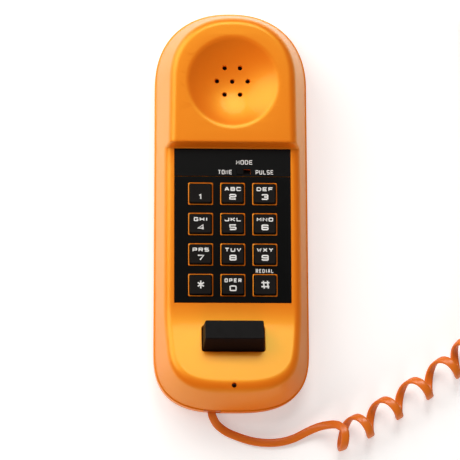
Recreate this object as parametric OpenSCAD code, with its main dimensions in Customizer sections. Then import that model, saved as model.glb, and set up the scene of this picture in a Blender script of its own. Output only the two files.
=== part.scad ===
// One-piece telephone with earpiece, keypad, hook plunger and mouthpiece in one slim housing.
// It lies on its back. +Z points away from the table, +Y to the ear end. Millimetres.

/* [Housing] */
// Height of the seam between the two shells
seam_z = 14; // [11:0.5:17]
// Height of the keypad face above the table
face_z = 30; // [28:0.5:36]
// Rise of the ear plateau above the keypad face
ear_rise = 7.5; // [6:0.5:10]
// Tilt of the ear plateau towards the mouth end, in degrees
ear_tilt = 2; // [0:0.5:4]
// Draft of the side walls, in degrees
wall_draft = 18; // [12:1:22]
// Draft of the wall round the mouth end, in degrees
mouth_draft = 18; // [12:1:22]
// Rounding where the walls meet the face
edge_round = 5; // [4:0.25:6]
// Rounding where the back shell meets the table
foot_round = 4; // [2:0.5:6]
// Wall thickness of both shells
wall = 2.4; // [2:0.1:3]
// Face left free on each side of the panel
face_margin = 4.2; // [2.5:0.1:8]
// Extra width of the mouth end over the ear end
mouth_flare = 0.8; // [0:0.2:6]
// Length of the rounded stretch at the mouth end
mouth_round = 34; // [30:1:44]
// Squareness of the mouth end's outline, 2 is an ellipse
mouth_power = 2.9; // [2.6:0.1:4]
// Step in from the back shell to the front shell at the seam
seam_step = 0.6; // [0.2:0.1:1]
// Depth of the tongue that locates the two shells
tongue_h = 1.6; // [1:0.2:3]

/* [Ear end] */
// Distance from the middle of the earpiece to the step
ear_neck = 33.4; // [28:0.2:40]
// Length of the ear end beyond a half circle
ear_reach = 0.4; // [0:0.1:3]
// Squareness of the ear end's outline, 2 is a circle
ear_power = 2.25; // [2:0.05:2.6]
// Length over which the plateau steps down to the keypad face
step_run = 2.9; // [2:0.1:5]
// Diameter of the earpiece dish
dish_d = 48; // [40:1:52]
// Depth of the earpiece dish
dish_depth = 7.5; // [6:0.25:9]
// Diameter of each sound hole
sound_hole_d = 2.4; // [1.6:0.1:3]
// Distance between neighbouring sound holes
sound_pitch = 8.2; // [6:0.2:9]

/* [Chin] */
// Length from the panel to the end of the mouthpiece
chin_len = 55.9; // [52:0.1:70]
// Slope of the chin, in degrees
chin_angle = 15; // [12:0.5:18]
// Radius of the blend between keypad face and chin
chin_blend = 60; // [40:5:80]
// Distance from the mouth end to the microphone hole
mic_inset = 12; // [11:0.25:15]
// Diameter of the microphone hole
mic_hole_d = 2.6; // [1.5:0.1:4]

/* [Keys] */
// Width of a key
key_w = 11.3; // [9:0.1:12]
// Height of a key on the face
key_h = 10.1; // [8:0.1:11]
// Distance between key columns
key_pitch_x = 17; // [16.2:0.1:20]
// Distance between key rows
key_pitch_y = 16.3; // [15.4:0.1:20]
// Stand of a key above its frame
key_stand = 1.5; // [1.2:0.1:2.5]
// Travel of a key
key_travel = 1.2; // [0.8:0.1:1.4]
// Gap between a key and its hole
key_gap = 0.25; // [0.15:0.05:0.4]
// Width of the raised frame round a key
frame_w = 0.8; // [0.6:0.05:1.4]
// Height of the frame above the keypad face
frame_stand = 0.2; // [0.1:0.05:0.5]
// Thickness of a key's flange
key_flange_t = 1.2; // [0.8:0.1:1.6]

/* [Panel] */
// Length of the label plate above the keypad overlay
label_len = 15; // [13:0.5:20]
// Margin of the overlay above the first row and below the last
panel_margin_y = 3.35; // [2:0.1:6]
// Margin of the overlay beside the outer columns
panel_margin_x = 7.3; // [6:0.1:10]
// Thickness of the overlay and of the label plate
overlay_t = 0.6; // [0.4:0.1:0.8]
// Depth of the recess that takes the overlay
panel_recess = 0.7; // [0.6:0.05:1]

/* [Hook plunger] */
// Width of the plunger at the face
hook_w = 32.2; // [28:0.2:36]
// Depth of the plunger at the face, along the slope
hook_t = 13.6; // [12:0.2:15]
// Stand of the plunger above the face
hook_stand = 13; // [10:0.5:14]
// Travel of the plunger
hook_travel = 8; // [5:0.5:8.5]
// Distance from the panel to the middle of the plunger
hook_inset = 19.2; // [18.5:0.1:24]
// Gap between the plunger and its slot
hook_gap = 0.4; // [0.3:0.05:0.6]
// Taper of the plunger's ends, in degrees
hook_end_taper = 3.7; // [2:0.1:6]
// Taper of the plunger's long sides, in degrees
hook_side_taper = 7.4; // [4:0.2:9]
// Outer diameter of the plunger springs
spring_d = 6; // [5:0.2:6.6]
// Wire diameter of the plunger springs
spring_wire = 0.6; // [0.4:0.1:0.8]

/* [Mode switch] */
// Distance of the switch from the middle of the housing
mode_x = 5.8; // [0:0.2:12]
// Travel of the switch knob
mode_travel = 3.6; // [2:0.2:5]
// Width of the knob, along its travel
mode_knob_w = 3.6; // [2.6:0.2:5]
// Height of the knob on the face
mode_knob_h = 2.6; // [2:0.2:3.6]

/* [Inside] */
// Diameter of the receiver capsule
receiver_d = 34; // [28:1:35]
// Thickness of the receiver capsule
receiver_t = 9; // [7:0.5:10]
// Diameter of the microphone capsule
mic_d = 9.7; // [8:0.1:10]
// Thickness of the microphone capsule
mic_t = 6.7; // [5:0.1:7]
// Thickness of the circuit board
board_t = 1.6; // [1.2:0.1:2]
// Thickness of the key mat's sheet
mat_t = 1; // [0.8:0.1:1.4]
// Diameter of the ringer case
ringer_d = 30; // [24:1:34]
// Height of the ringer case
ringer_h = 6.5; // [5:0.5:8]
// Diameter of the case screws
case_screw_d = 2.9; // [2.5:0.1:3.2]
// Diameter of the small screws
small_screw_d = 2; // [1.8:0.1:2.2]

/* [Cord] */
// Width of the flat cord
cord_w = 4.4; // [4:0.1:5]
// Thickness of the flat cord
cord_t = 2.2; // [1.8:0.1:2.6]
// Distance of the cord exit from the middle of the housing
cord_x = 10.3; // [8:0.1:16]
// Height of the cord where it leaves the housing
cord_exit_z = 7.4; // [6:0.2:8.6]
// Width of the notch for the strain relief
notch_w = 9; // [7.5:0.2:11]
// Outer diameter of the stretched curl
curl_d = 15.4; // [14:0.2:17]
// Outer diameter of the closed curl
store_d = 14.4; // [13:0.2:16]

/* [Hidden] */

key_names = ["1", "2", "3", "4", "5", "6", "7", "8", "9", "star", "0", "hash"];
key_columns = 3;
key_rows = 4;

// Clearances
loose_fit = 0.3;
close_fit = 0.15;
thread_fit = 0.02;
shank_fit = 0.2;
head_fit = 0.4;
pilot_over = 0.4;
eps = 0.01;
cut = 1;

// Plan of the panel, from the keys outwards
hole_w = key_w + 2 * key_gap;
hole_h = key_h + 2 * key_gap;
frame_out_w = hole_w + 2 * frame_w;
frame_out_h = hole_h + 2 * frame_w;
panel_w = (key_columns - 1) * key_pitch_x + frame_out_w + 2 * panel_margin_x;
panel_len = label_len + (key_rows - 1) * key_pitch_y + frame_out_h + 2 * panel_margin_y;

// Plan of the housing, from the panel outwards
draft_run = tan(wall_draft);
ear_r = panel_w / 2 + face_margin + draft_run * (face_z - seam_z) + seam_step;
mouth_r = ear_r + mouth_flare / 2;
body_len = ear_r + ear_reach + ear_neck + step_run + panel_len + chin_len;
ear_y = body_len / 2 - ear_r - ear_reach;
step_y = ear_y - ear_neck;
panel_top = step_y - step_run;
panel_bottom = panel_top - panel_len;
mouth_y = mouth_round - body_len / 2;
end_share = tan(mouth_draft) / draft_run;
chin_start = panel_bottom - 0.7;

// Heights, from the face down
dome_h = key_travel + 1.1;
recess_z = face_z - panel_recess;
ceiling_z = face_z - wall;
frame_top = face_z + frame_stand;
key_top = frame_top + key_stand;
key_flange_top = ceiling_z - loose_fit;
key_underside = key_flange_top - key_flange_t;
mat_top = key_underside - loose_fit - dome_h;
board_top = mat_top - mat_t;
board_bottom = board_top - board_t;
floor_z = wall;
foot_inner = max(foot_round - wall, 1);

// Rows and columns
first_row_y = panel_top - label_len - panel_margin_y - frame_out_h / 2;
seam_plate_y = panel_top - label_len;
mode_y = seam_plate_y + 2.5;
key_places = [for (row = [0:key_rows - 1], col = [0:key_columns - 1])
    [(col - (key_columns - 1) / 2) * key_pitch_x, first_row_y - row * key_pitch_y]];

// Earpiece
dish_r = (pow(dish_d / 2, 2) + pow(dish_depth, 2)) / (2 * dish_depth);
collar_in = receiver_d / 2 + loose_fit;
collar_out = collar_in + 2;
seat_in = 12.5;
seat_z = -wall - 0.8;
gasket_t = 1.2;
rim_t = 3;
capsule_front = seat_z - gasket_t;
capsule_rim_back = capsule_front - rim_t;
retainer_step = 1.8;
retainer_t = 1.6;
collar_end = capsule_rim_back - retainer_step;
retainer_screw_x = collar_out + 4.2;

// Screws and bosses
case_boss_r = 3.6;
small_boss_r = 2.8;
case_head_d = 5.6;
case_head_t = 1.9;
small_head_d = 4.4;
small_head_t = 1.4;
well_depth = 8;
case_screw_len = 17;
small_screw_len = 6;
ear_boss_dist = collar_out + 6.4;
ear_boss = [ear_boss_dist * cos(45), ear_y + ear_boss_dist * sin(45)];
mouth_boss_in = 14.3;
mouth_boss_up = 22;
mouth_boss = [mouth_r - mouth_boss_in, -body_len / 2 + mouth_boss_up];
case_places = [for (side = [-1, 1], place = [ear_boss, mouth_boss]) [side * place[0], place[1]]];
board_screw_x = (key_columns - 1) * key_pitch_x / 2 + frame_out_w / 2 + 3.7;
board_y1 = panel_top + 3.5;
board_y0 = panel_bottom - 6.5;
board_w = 2 * (board_screw_x + 2.6);
board_places = [for (side = [-1, 1], y = [board_y1 - 6, board_y0 + 3.2]) [side * board_screw_x, y]];

// Mat below the keys
mat_w = 2 * (board_screw_x - small_boss_r - 0.8);
mat_y1 = seam_plate_y - 2;
mat_y0 = panel_bottom;
dome_r = 4.2;

// Mode switch
mode_slot_w = mode_knob_w + mode_travel + 2 * close_fit;
mode_slot_h = mode_knob_h + 2 * close_fit;
mode_stem_w = 2;
mode_plate_t = 0.8;
mode_plate_w = mode_slot_w + mode_travel + 3;
mode_plate_h = mode_slot_h + 2.1;
mode_plate_z = ceiling_z - loose_fit;
mode_body_top = mode_plate_z - mode_plate_t - loose_fit;
mode_body_wall = 1;

// Hook plunger, in the slope's own frame
hook_y = panel_bottom - hook_inset;
hook_flange_t = 1.5;
hook_flange_over = 2;
hook_flange_top = -wall - loose_fit;
hook_edge = 0.5;
hook_corner = 0.9;
hook_pocket_top = 4;
hook_web = 9;
hook_skin = 1.8;
spring_x = hook_w / 2 - hook_skin - spring_d / 2 - 0.6;
spring_turns = 9;
spring_seat = -20;
post_r = spring_d / 2 - spring_wire - 0.35;
tower_r = spring_d / 2 + 1;
foot_w = 6;
foot_t = 5;
foot_end = -12;
leaf_t = 0.3;
leaf_v = foot_t / 2 + 0.4;
leaf_pitch = 1.9;
switch_w = 2 * (spring_x - tower_r - loose_fit);
switch_d = 6;
leaf_top = hook_flange_top - hook_flange_t - hook_travel - loose_fit;
switch_seat = -24;
switch_top = -16;

// Microphone
mic_hole_y = mic_inset - body_len / 2;
boot_wall = 0.65;
boot_r = mic_d / 2 + thread_fit + boot_wall;
boot_floor = 1.2;
mic_y = mic_hole_y + boot_r - 0.4;
boot_top = face_h(mic_y) - wall - 2.8;
mic_collar_wall = 1.5;
mic_collar_len = 7;

// Parts on the board
chip_size = [22, 6.4, 3.6];
chip_x = -6;
can_d = 6;
can_h = 8;
can_x = 16;
can_pitch = can_d + 2;
main_can_d = 8;
main_can_h = 10;
main_can_row = 6;
diode_d = 2.4;
diode_len = 6;
diode_x = -20;
diode_pitch = 5;
diode_row = 6;
transformer_size = [12, 10, 8.5];
transformer_x = 14;
transformer_row = 4;

// Ringer
ringer_y = 2;
ringer_rib_h = 3;
ringer_rib_t = 1.4;

// Cord exit
relief_wall_y = -body_len / 2;
relief_z0 = floor_z + 0.5;
relief_inset = 0.6;
relief_in_y = wall + relief_inset;
relief_gap = 0.6;
relief_flange_t = 1.8;
relief_flange_over = 1.7;
relief_flange_w = notch_w + 2 * relief_flange_over;
relief_flange_z0 = floor_z + foot_inner;
relief_back_y = relief_in_y + relief_gap + relief_flange_t;
relief_rib_w = 2;
relief_rib_t = 1.4;
cord_exit = [-cord_x, relief_wall_y + relief_inset - eps, cord_exit_z];

// Lead from the strain relief to the curl: x and y from the exit, z from the table
lead_route = concat(
    [for (p = [[0, 0, 0], [0.2, -1.7, -0.2], [1.1, -3.7, -1.4]]) cord_exit + p],
    [for (p = [
        [2.7, -6.1, 3.9], [5.2, -8.3, 2.1], [8.6, -10.5, 1.5], [12.6, -12.2, 1.4],
        [17.6, -14, 1.4], [23.6, -15.5, 1.4], [30.5, -16.1, 1.4], [37.5, -15.6, 1.6],
        [44.5, -13.6, 2.1], [50.9, -10.4, 3.1], [56.9, -7.9, 4.7], [61.7, -6.8, 6.4],
        [65.6, -7.3, 7.6]])
        [cord_exit[0] + p[0], cord_exit[1] + p[1], p[2]]]);
// Axis of the stretched curl, from the first turn to the edge of the closed curl
curl_route = [for (p = [
    [67.9, -13.2], [73.4, -11.2], [82.3, -6.4], [90.3, -1.4], [98.2, 3.7], [106.2, 8.9],
    [114.1, 14.2], [122, 19.8], [129.5, 25.5], [135.9, 31.6], [140.9, 38.6], [143.9, 47.1],
    [144.8, 56.1]])
    [cord_exit[0] + p[0], cord_exit[1] + p[1], curl_d / 2]];
// Closed curl, which lies straight from the end of the stretched one
store_start = curl_route[len(curl_route) - 1];
store_len = 176;
// Tail from the closed curl to the plug
tail_route = [for (p = [
    [0, 0, 1.7], [0, 3, 1.6], [-0.4, 7, 1.5], [-1.4, 11, 1.6], [-2.3, 15, 2.2], [-2.7, 18, 3],
    [-2.8, 20.5, 3.4]])
    [store_start[0] + p[0], store_start[1] + store_len + p[1], p[2]]];
// Plug at the end of the tail
plug_at = [tail_route[len(tail_route) - 1][0], tail_route[len(tail_route) - 1][1], 0];
plug_size = [9.6, 14, 6.6];
plug_ways = [-1.65, -0.55, 0.55, 1.65];
plug_slot_w = 0.6;
plug_slot_len = 4.5;
plug_slot_depth = 2.4;

ear_steps = 22;
mouth_steps = 22;
fillet_steps = 5;
round_fn = 64;

// ---- curves of the housing ----

function ease(t) = (1 - cos(180 * t)) / 2;

function ear_face(y) = face_z + ear_rise + (y - ear_y) * tan(ear_tilt);

function chin_rise(s) =
    s <= 0 ? 0
    : s < chin_blend * sin(chin_angle) ? chin_blend - sqrt(chin_blend * chin_blend - s * s)
    : chin_blend * (1 - cos(chin_angle)) + (s - chin_blend * sin(chin_angle)) * tan(chin_angle);

// Height of the outer face at a place along the housing
function face_h(y) =
    y >= step_y ? ear_face(y)
    : y > panel_top ? face_z + (ear_face(step_y) - face_z) * ease((y - panel_top) / step_run)
    : face_z + chin_rise(chin_start - y);

// The same face, sunk by a wall thickness and moved back from the step
function sunk_face(y, drop) = min(face_h(y), face_h(y - drop)) - drop;

function side_x(y) = ear_r + (mouth_r - ear_r) * (ear_y - y) / (ear_y - mouth_y);

// Stations round the right half of the outline: [stretch, angle or y]
side_ys = concat(
    [for (i = [1:3]) ear_y + (step_y + wall - ear_y) * i / 4],
    [for (i = [0:10]) step_y + wall - (step_run + wall) * i / 10],
    [for (i = [1:3]) panel_top + (chin_start - panel_top) * i / 3],
    [for (i = [1:4]) chin_start + (mouth_y - chin_start) * i / 5]);
stations = concat(
    [for (i = [0:ear_steps]) [0, 90 * i / ear_steps]],
    [for (y = side_ys) [1, y]],
    [for (i = [0:mouth_steps]) [2, 90 * i / mouth_steps]]);
last_station = len(stations) - 1;
ring_count = 2 * last_station;

// Point of the outline at a station, moved in by an inset
function outline_xy(station, inset) =
    station[0] == 0 ? [(ear_r - inset) * pow(sin(station[1]), 2 / ear_power),
                       ear_y + (ear_r + ear_reach - inset) * pow(cos(station[1]), 2 / ear_power)]
    : station[0] == 1 ? [side_x(station[1]) - inset, station[1]]
    : [(mouth_r - inset) * pow(cos(station[1]), 2 / mouth_power),
       mouth_y - (mouth_round - inset * end_share) * pow(sin(station[1]), 2 / mouth_power)];

// Closed ring from a right half: the left half is its mirror image
function mirrored(half) = concat(
    half,
    [for (i = [last_station - 1:-1:1]) [-half[i][0], half[i][1], half[i][2]]]);

function level_ring(z, inset) =
    mirrored([for (s = stations) let (p = outline_xy(s, inset)) [p[0], p[1], z]]);

function draft_inset(z) = seam_step + draft_run * (z - seam_z);

// Ring on the rounding between wall and face: turn is 0 at the face
function edge_ring(drop, side, radius, turn) = mirrored([for (s = stations)
    let (near = outline_xy(s, draft_inset(face_z + ear_rise) + side),
         reach = side + draft_inset(sunk_face(near[1], drop)) + radius * tan((90 - wall_draft) / 2),
         p = outline_xy(s, reach - radius * sin(turn)))
    [p[0], p[1], sunk_face(p[1], drop) - radius * (1 - cos(turn))]]);

// Solid between stacked rings, with a ladder of flat strips across its top
module stacked(rings) {
    n = ring_count;
    top = (len(rings) - 1) * n;
    walls = [for (k = [0:len(rings) - 2], i = [0:n - 1], half = [0, 1])
        let (a = k * n + i, b = k * n + (i + 1) % n, c = b + n, d = a + n)
        half == 0 ? [a, b, c] : [a, c, d]];
    strips = [for (i = [0:last_station - 1])
        let (l0 = (n - i) % n, l1 = n - i - 1)
        i == 0 ? [top, top + 1, top + n - 1]
        : i == last_station - 1 ? [top + i, top + i + 1, top + l0]
        : [top + i, top + i + 1, top + l1, top + l0]];
    base = [for (i = [n - 1:-1:0]) i];
    polyhedron(
        points = [for (ring = rings, p = ring) p],
        faces = concat(walls, strips, [base]),
        convexity = 8);
}

// Front housing form: drafted wall, rounded edge and shaped face
module face_form(drop, side, radius, base_z, steps) {
    stacked(concat(
        [level_ring(base_z, side + draft_inset(base_z))],
        [for (i = [0:steps]) edge_ring(drop, side, radius, (90 - wall_draft) * (1 - i / steps))]));
}

// Tray form with a rounded bottom edge
module tray_form(inset, bottom, top, radius, steps) {
    stacked(concat(
        [for (i = [0:steps]) level_ring(bottom + radius * (1 - cos(90 * i / steps)),
                                        inset + radius * (1 - sin(90 * i / steps)))],
        [level_ring(top, inset)]));
}

// Band that follows the outline
module outline_band(z0, z1, inset0, inset1) {
    difference() {
        stacked([level_ring(z0, inset0), level_ring(z1, inset0)]);
        stacked([level_ring(z0 - cut, inset1), level_ring(z1 + cut, inset1)]);
    }
}

// ---- plain shapes ----

module rod(r, z0, z1, fn = round_fn) {
    translate([0, 0, z0]) cylinder(r = r, h = z1 - z0, $fn = fn);
}

module tube(r_out, r_in, z0, z1) {
    difference() {
        rod(r_out, z0, z1);
        rod(r_in, z0 - cut, z1 + cut);
    }
}

module block(w, h, z0, z1) {
    translate([-w / 2, -h / 2, z0]) cube([w, h, z1 - z0]);
}

// Block with round corners
module pad(w, h, r, z0, z1) {
    translate([0, 0, z0]) linear_extrude(z1 - z0) {
        square([w - 2 * r, h], center = true);
        square([w, h - 2 * r], center = true);
        for (sx = [-1, 1], sy = [-1, 1])
            translate([sx * (w / 2 - r), sy * (h / 2 - r)]) circle(r = r, $fn = 24);
    }
}

module at_places(places) {
    for (place = places) translate([place[0], place[1], 0]) children();
}

// Frame of the earpiece: origin at the bottom of the dish, Z out of it
module ear_frame() {
    translate([0, ear_y, ear_face(ear_y)])
        rotate([ear_tilt, 0, 0])
        translate([0, 0, -dish_depth]) children();
}

// Frame of the hook plunger: origin on the slope, Z along its travel
module hook_frame() {
    translate([0, hook_y, face_h(hook_y)]) rotate([-chin_angle, 0, 0]) children();
}

// Screw with its head down, threaded part up
module screw(d, len, head_d, head_t, z_seat) {
    rod(head_d / 2, z_seat - head_t, z_seat, 32);
    rod(d / 2, z_seat - eps, z_seat + len, 32);
}

// ---- housing ----

module front_shell() {
    color("darkorange") difference() {
        union() {
            difference() {
                face_form(0, 0, edge_round, seam_z, fillet_steps);
                front_cavity();
                translate([0, (panel_top + panel_bottom) / 2, 0])
                    block(panel_w, panel_len, recess_z, face_z + ear_rise / 2);
            }
            at_places(key_places) block(frame_out_w, frame_out_h, recess_z - eps, frame_top);
            outline_band(seam_z - tongue_h, seam_z + 1, wall + close_fit, wall + close_fit + 1.1);
        }
        at_places(key_places) pad(hole_w, hole_h, 0.9, ceiling_z - cut, frame_top + cut);
        translate([mode_x, mode_y, 0]) block(mode_slot_w, mode_slot_h, ceiling_z - cut, face_z + cut);
        ear_frame() {
            translate([0, 0, dish_r]) sphere(r = dish_r, $fn = 128);
            sound_holes();
        }
        hook_frame()
            pad(hook_w + 2 * hook_gap, hook_t + 2 * hook_gap, hook_corner + hook_gap, -3 * wall, wall);
        translate([0, mic_hole_y, 0]) rod(mic_hole_d / 2, boot_top - cut, face_h(mic_hole_y) + wall, 32);
        front_pilots();
        translate([-cord_x, relief_wall_y, 0])
            block(relief_flange_w + 2 * loose_fit, 2 * (relief_back_y + relief_rib_t),
                  seam_z - tongue_h - cut, seam_z);
    }
}

// Space inside the front shell, with the bosses and collars left standing
module front_cavity() {
    difference() {
        face_form(wall, wall / cos(wall_draft), edge_round - wall + 0.4, seam_z - cut, 2);
        ear_frame() {
            translate([0, 0, dish_r]) sphere(r = dish_r + wall, $fn = 128);
            tube(collar_out, collar_in, collar_end, dish_depth);
            tube(collar_in + eps, seat_in, seat_z, dish_depth);
            for (side = [-1, 1])
                translate([side * retainer_screw_x, 0, 0]) rod(small_boss_r, collar_end, dish_depth, 32);
        }
        at_places(case_places) rod(case_boss_r, seam_z - 2 * cut, face_z + 2 * ear_rise, 32);
        at_places(board_places) rod(small_boss_r, board_top, face_z, 32);
        translate([0, mic_y, 0]) {
            tube(boot_r + close_fit + mic_collar_wall, boot_r + close_fit,
                 boot_top - mic_collar_len, face_z + 2 * ear_rise);
            difference() {
                rod(boot_r + close_fit + eps, boot_top, face_z + 2 * ear_rise);
                translate([0, mic_hole_y - mic_y, 0]) rod(mic_hole_d, boot_top - cut, boot_top + 0.8, 32);
            }
        }
    }
}

module sound_holes() {
    rod(sound_hole_d / 2, -wall - cut, cut, 24);
    for (i = [0:5])
        rotate(60 * i) translate([sound_pitch, 0, 0]) rod(sound_hole_d / 2, -wall - cut, 2 * cut, 24);
}

module front_pilots() {
    at_places(case_places)
        rod(case_screw_d / 2 + thread_fit, seam_z - cut, well_depth + case_screw_len + pilot_over, 32);
    at_places(board_places)
        rod(small_screw_d / 2 + thread_fit, board_top - cut,
            board_bottom + small_screw_len + pilot_over, 32);
    ear_frame() for (side = [-1, 1]) translate([side * retainer_screw_x, 0, 0])
        rod(small_screw_d / 2 + thread_fit, collar_end - cut,
            collar_end - retainer_t + small_screw_len + pilot_over, 32);
}

module back_shell() {
    color("orange") difference() {
        union() {
            difference() {
                tray_form(0, 0, seam_z, foot_round, 5);
                tray_form(wall, floor_z, seam_z + cut, foot_inner, 3);
            }
            at_places(case_places) rod(case_head_d / 2 + 0.4 + 1.6, floor_z - cut, seam_z, 32);
            translate([0, ringer_y, 0])
                tube(ringer_d / 2 + close_fit + ringer_rib_t, ringer_d / 2 + close_fit, floor_z - cut,
                     floor_z + ringer_rib_h);
            hook_towers();
            relief_ribs();
        }
        at_places(case_places) {
            rod(case_head_d / 2 + head_fit, -cut, well_depth, 32);
            rod(case_screw_d / 2 + shank_fit, -cut, seam_z + cut, 32);
        }
        translate([0, ringer_y, 0]) ringer_grille();
        translate([-cord_x, relief_wall_y, 0])
            block(notch_w, 2 * (wall + foot_round), relief_z0, seam_z + cut);
    }
}

module ringer_grille() {
    rod(1.1, -cut, floor_z + cut, 24);
    for (i = [0:5]) rotate(60 * i) translate([5, 0, 0]) rod(1.1, -cut, floor_z + cut, 24);
}

// Towers that carry the plunger springs and the hook switch, cut off level with the floor
module hook_towers() {
    intersection() {
        hook_frame() {
            for (side = [-1, 1]) translate([side * spring_x, 0, 0]) {
                rod(tower_r, 3 * spring_seat, spring_seat, 32);
                rod(post_r, spring_seat - eps, spring_seat + 4, 32);
            }
            translate([0, leaf_v + switch_d / 2, 0])
                block(switch_w + 2, switch_d + 2, 3 * switch_seat, switch_seat);
        }
        translate([0, hook_y, 0]) block(2 * hook_w, 4 * hook_t, floor_z - cut, face_z);
    }
}

// Ribs that hold the inner flange of the strain relief against the end wall
module relief_ribs() {
    translate([-cord_x, relief_wall_y, 0]) for (side = [-1, 1])
        translate([side * (notch_w / 2 + loose_fit), relief_back_y + loose_fit + relief_rib_t / 2, 0])
            block(relief_rib_w, relief_rib_t, floor_z - cut, seam_z - tongue_h - loose_fit);
}

// ---- panel ----

module keypad_overlay() {
    color("black") difference() {
        translate([0, (seam_plate_y + panel_bottom) / 2, 0])
            block(panel_w - 2 * close_fit, seam_plate_y - panel_bottom - 2 * close_fit,
                  recess_z, recess_z + overlay_t);
        at_places(key_places)
            block(frame_out_w + 2 * close_fit, frame_out_h + 2 * close_fit,
                  recess_z - cut, face_z + cut);
    }
}

module label_plate() {
    color("dimgray") difference() {
        translate([0, (seam_plate_y + panel_top) / 2, 0])
            block(panel_w - 2 * close_fit, label_len - 2 * close_fit, recess_z, recess_z + overlay_t);
        translate([mode_x, mode_y, 0]) block(mode_slot_w, mode_slot_h, recess_z - cut, face_z + cut);
    }
}

// Key cap with an edge chamfer, on a flange that stops it under the shell
module key(place) {
    chamfer = 0.35;
    color("darkslategray") translate([place[0], place[1], 0]) {
        pad(key_w + 1.8, key_h + 1.8, 1, key_underside, key_flange_top);
        pad(key_w, key_h, 0.8, key_flange_top - eps, key_top - chamfer);
        hull() {
            pad(key_w, key_h, 0.8, key_top - chamfer - eps, key_top - chamfer);
            pad(key_w - 2 * chamfer, key_h - 2 * chamfer, 0.8, key_top - eps, key_top);
        }
    }
}

module key_mat() {
    color("gray") difference() {
        union() {
            translate([0, (mat_y0 + mat_y1) / 2, 0]) block(mat_w, mat_y1 - mat_y0, board_top, mat_top);
            at_places(key_places) rotate_extrude($fn = 32)
                polygon([[0, mat_top - eps], [dome_r, mat_top - eps], [dome_r - 0.6, mat_top + dome_h * 0.6],
                         [dome_r - 1.6, mat_top + dome_h * 0.75], [dome_r - 1.9, mat_top + dome_h],
                         [0, mat_top + dome_h]]);
        }
        at_places(key_places) rod(dome_r - 1.4, board_top - cut, mat_top + dome_h * 0.3, 24);
    }
}

// ---- board ----

module circuit_board() {
    color("darkgreen") difference() {
        translate([0, (board_y0 + board_y1) / 2, 0])
            block(board_w, board_y1 - board_y0, board_bottom, board_top);
        at_places(board_places) rod(small_screw_d / 2 + shank_fit, board_bottom - cut, board_top + cut, 24);
    }
}

// Dialler chip, capacitors, diodes and a small transformer under the board
module board_parts() {
    color("dimgray") translate([0, 0, board_bottom]) mirror([0, 0, 1]) {
        translate([chip_x, first_row_y - 1.5 * key_pitch_y, 0])
            block(chip_size[0], chip_size[1], 0, chip_size[2]);
        for (i = [0:3]) translate([can_x, first_row_y - can_pitch * i, 0])
            rod(can_d / 2, 0, can_h, 32);
        for (i = [0:4]) translate([diode_x + diode_pitch * i, first_row_y + diode_row, diode_d / 2])
            rotate([90, 0, 0]) rod(diode_d / 2, -diode_len / 2, diode_len / 2, 24);
        translate([transformer_x, panel_bottom + transformer_row, 0])
            block(transformer_size[0], transformer_size[1], 0, transformer_size[2]);
        translate([-can_x, panel_bottom + main_can_row, 0]) rod(main_can_d / 2, 0, main_can_h, 32);
    }
}

module board_screws() {
    color("silver") at_places(board_places)
        screw(small_screw_d, small_screw_len, small_head_d, small_head_t, board_bottom);
}

module mode_switch() {
    color("silver") translate([mode_x, mode_y, 0]) difference() {
        block(mode_travel + mode_stem_w + 2 * (loose_fit + mode_body_wall),
              mode_stem_w + 2 * (loose_fit + mode_body_wall), board_top, mode_body_top);
        block(mode_travel + mode_stem_w + 2 * loose_fit, mode_stem_w + 2 * loose_fit,
              board_top + mode_body_wall, mode_body_top + cut);
    }
}

// Knob with a cover plate below the slot and a stem into the switch
module mode_knob() {
    start = -mode_travel / 2;
    color("black") translate([mode_x + start, mode_y, 0]) {
        block(mode_knob_w, mode_knob_h, mode_plate_z - eps, frame_top + 0.2);
        block(mode_plate_w, mode_plate_h, mode_plate_z - mode_plate_t, mode_plate_z);
        block(mode_stem_w, mode_stem_w,
              board_top + mode_body_wall + loose_fit, mode_plate_z - mode_plate_t + eps);
    }
}

// ---- hook ----

module hook_plunger() {
    end_in = 2 * hook_stand * tan(hook_end_taper);
    side_in = 2 * hook_stand * tan(hook_side_taper);
    color("black") hook_frame() difference() {
        union() {
            hull() {
                pad(hook_w, hook_t, hook_corner, 0, eps);
                pad(hook_w - end_in, hook_t - side_in, hook_corner,
                    hook_stand - hook_edge, hook_stand - hook_edge + eps);
                pad(hook_w - end_in - hook_edge, hook_t - side_in - hook_edge, hook_corner,
                    hook_stand - eps, hook_stand);
            }
            pad(hook_w, hook_t, hook_corner, hook_flange_top - eps, eps / 2);
            pad(hook_w + 2 * hook_flange_over, hook_t + 2 * hook_flange_over, hook_corner,
                hook_flange_top - hook_flange_t, hook_flange_top);
            block(foot_w, foot_t, foot_end, 0);
        }
        for (side = [-1, 1]) translate([side * (hook_w / 2 - hook_skin + hook_web / 2) / 2, 0, 0])
            block(hook_w / 2 - hook_skin - hook_web / 2, hook_t - 2 * hook_skin, foot_end, hook_pocket_top);
    }
}

// Two compression springs, each a stack of closed rings joined by a slim bar
module hook_springs() {
    length = hook_pocket_top - spring_seat;
    pitch = (length - spring_wire) / (spring_turns - 1);
    coil_r = (spring_d - spring_wire) / 2;
    color("silver") hook_frame() for (side = [-1, 1]) translate([side * spring_x, 0, spring_seat]) {
        for (i = [0:spring_turns - 1]) translate([0, 0, spring_wire / 2 + i * pitch])
            rotate_extrude($fn = 32) translate([coil_r, 0]) circle(d = spring_wire, $fn = 16);
        translate([coil_r, 0, 0]) rod(spring_wire / 3, spring_wire / 2, length - spring_wire / 2, 16);
    }
}

// Moulded block with three leaf contacts that stand beside the plunger's foot
module hook_switch() {
    color("ivory") hook_frame() {
        translate([0, leaf_v + switch_d / 2, 0]) block(switch_w, switch_d, switch_seat + eps, switch_top);
        for (i = [-1:1]) translate([i * leaf_pitch, leaf_v + leaf_t / 2, 0])
            block(1.4, leaf_t, switch_top - eps, leaf_top);
    }
}

// ---- receiver ----

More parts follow.
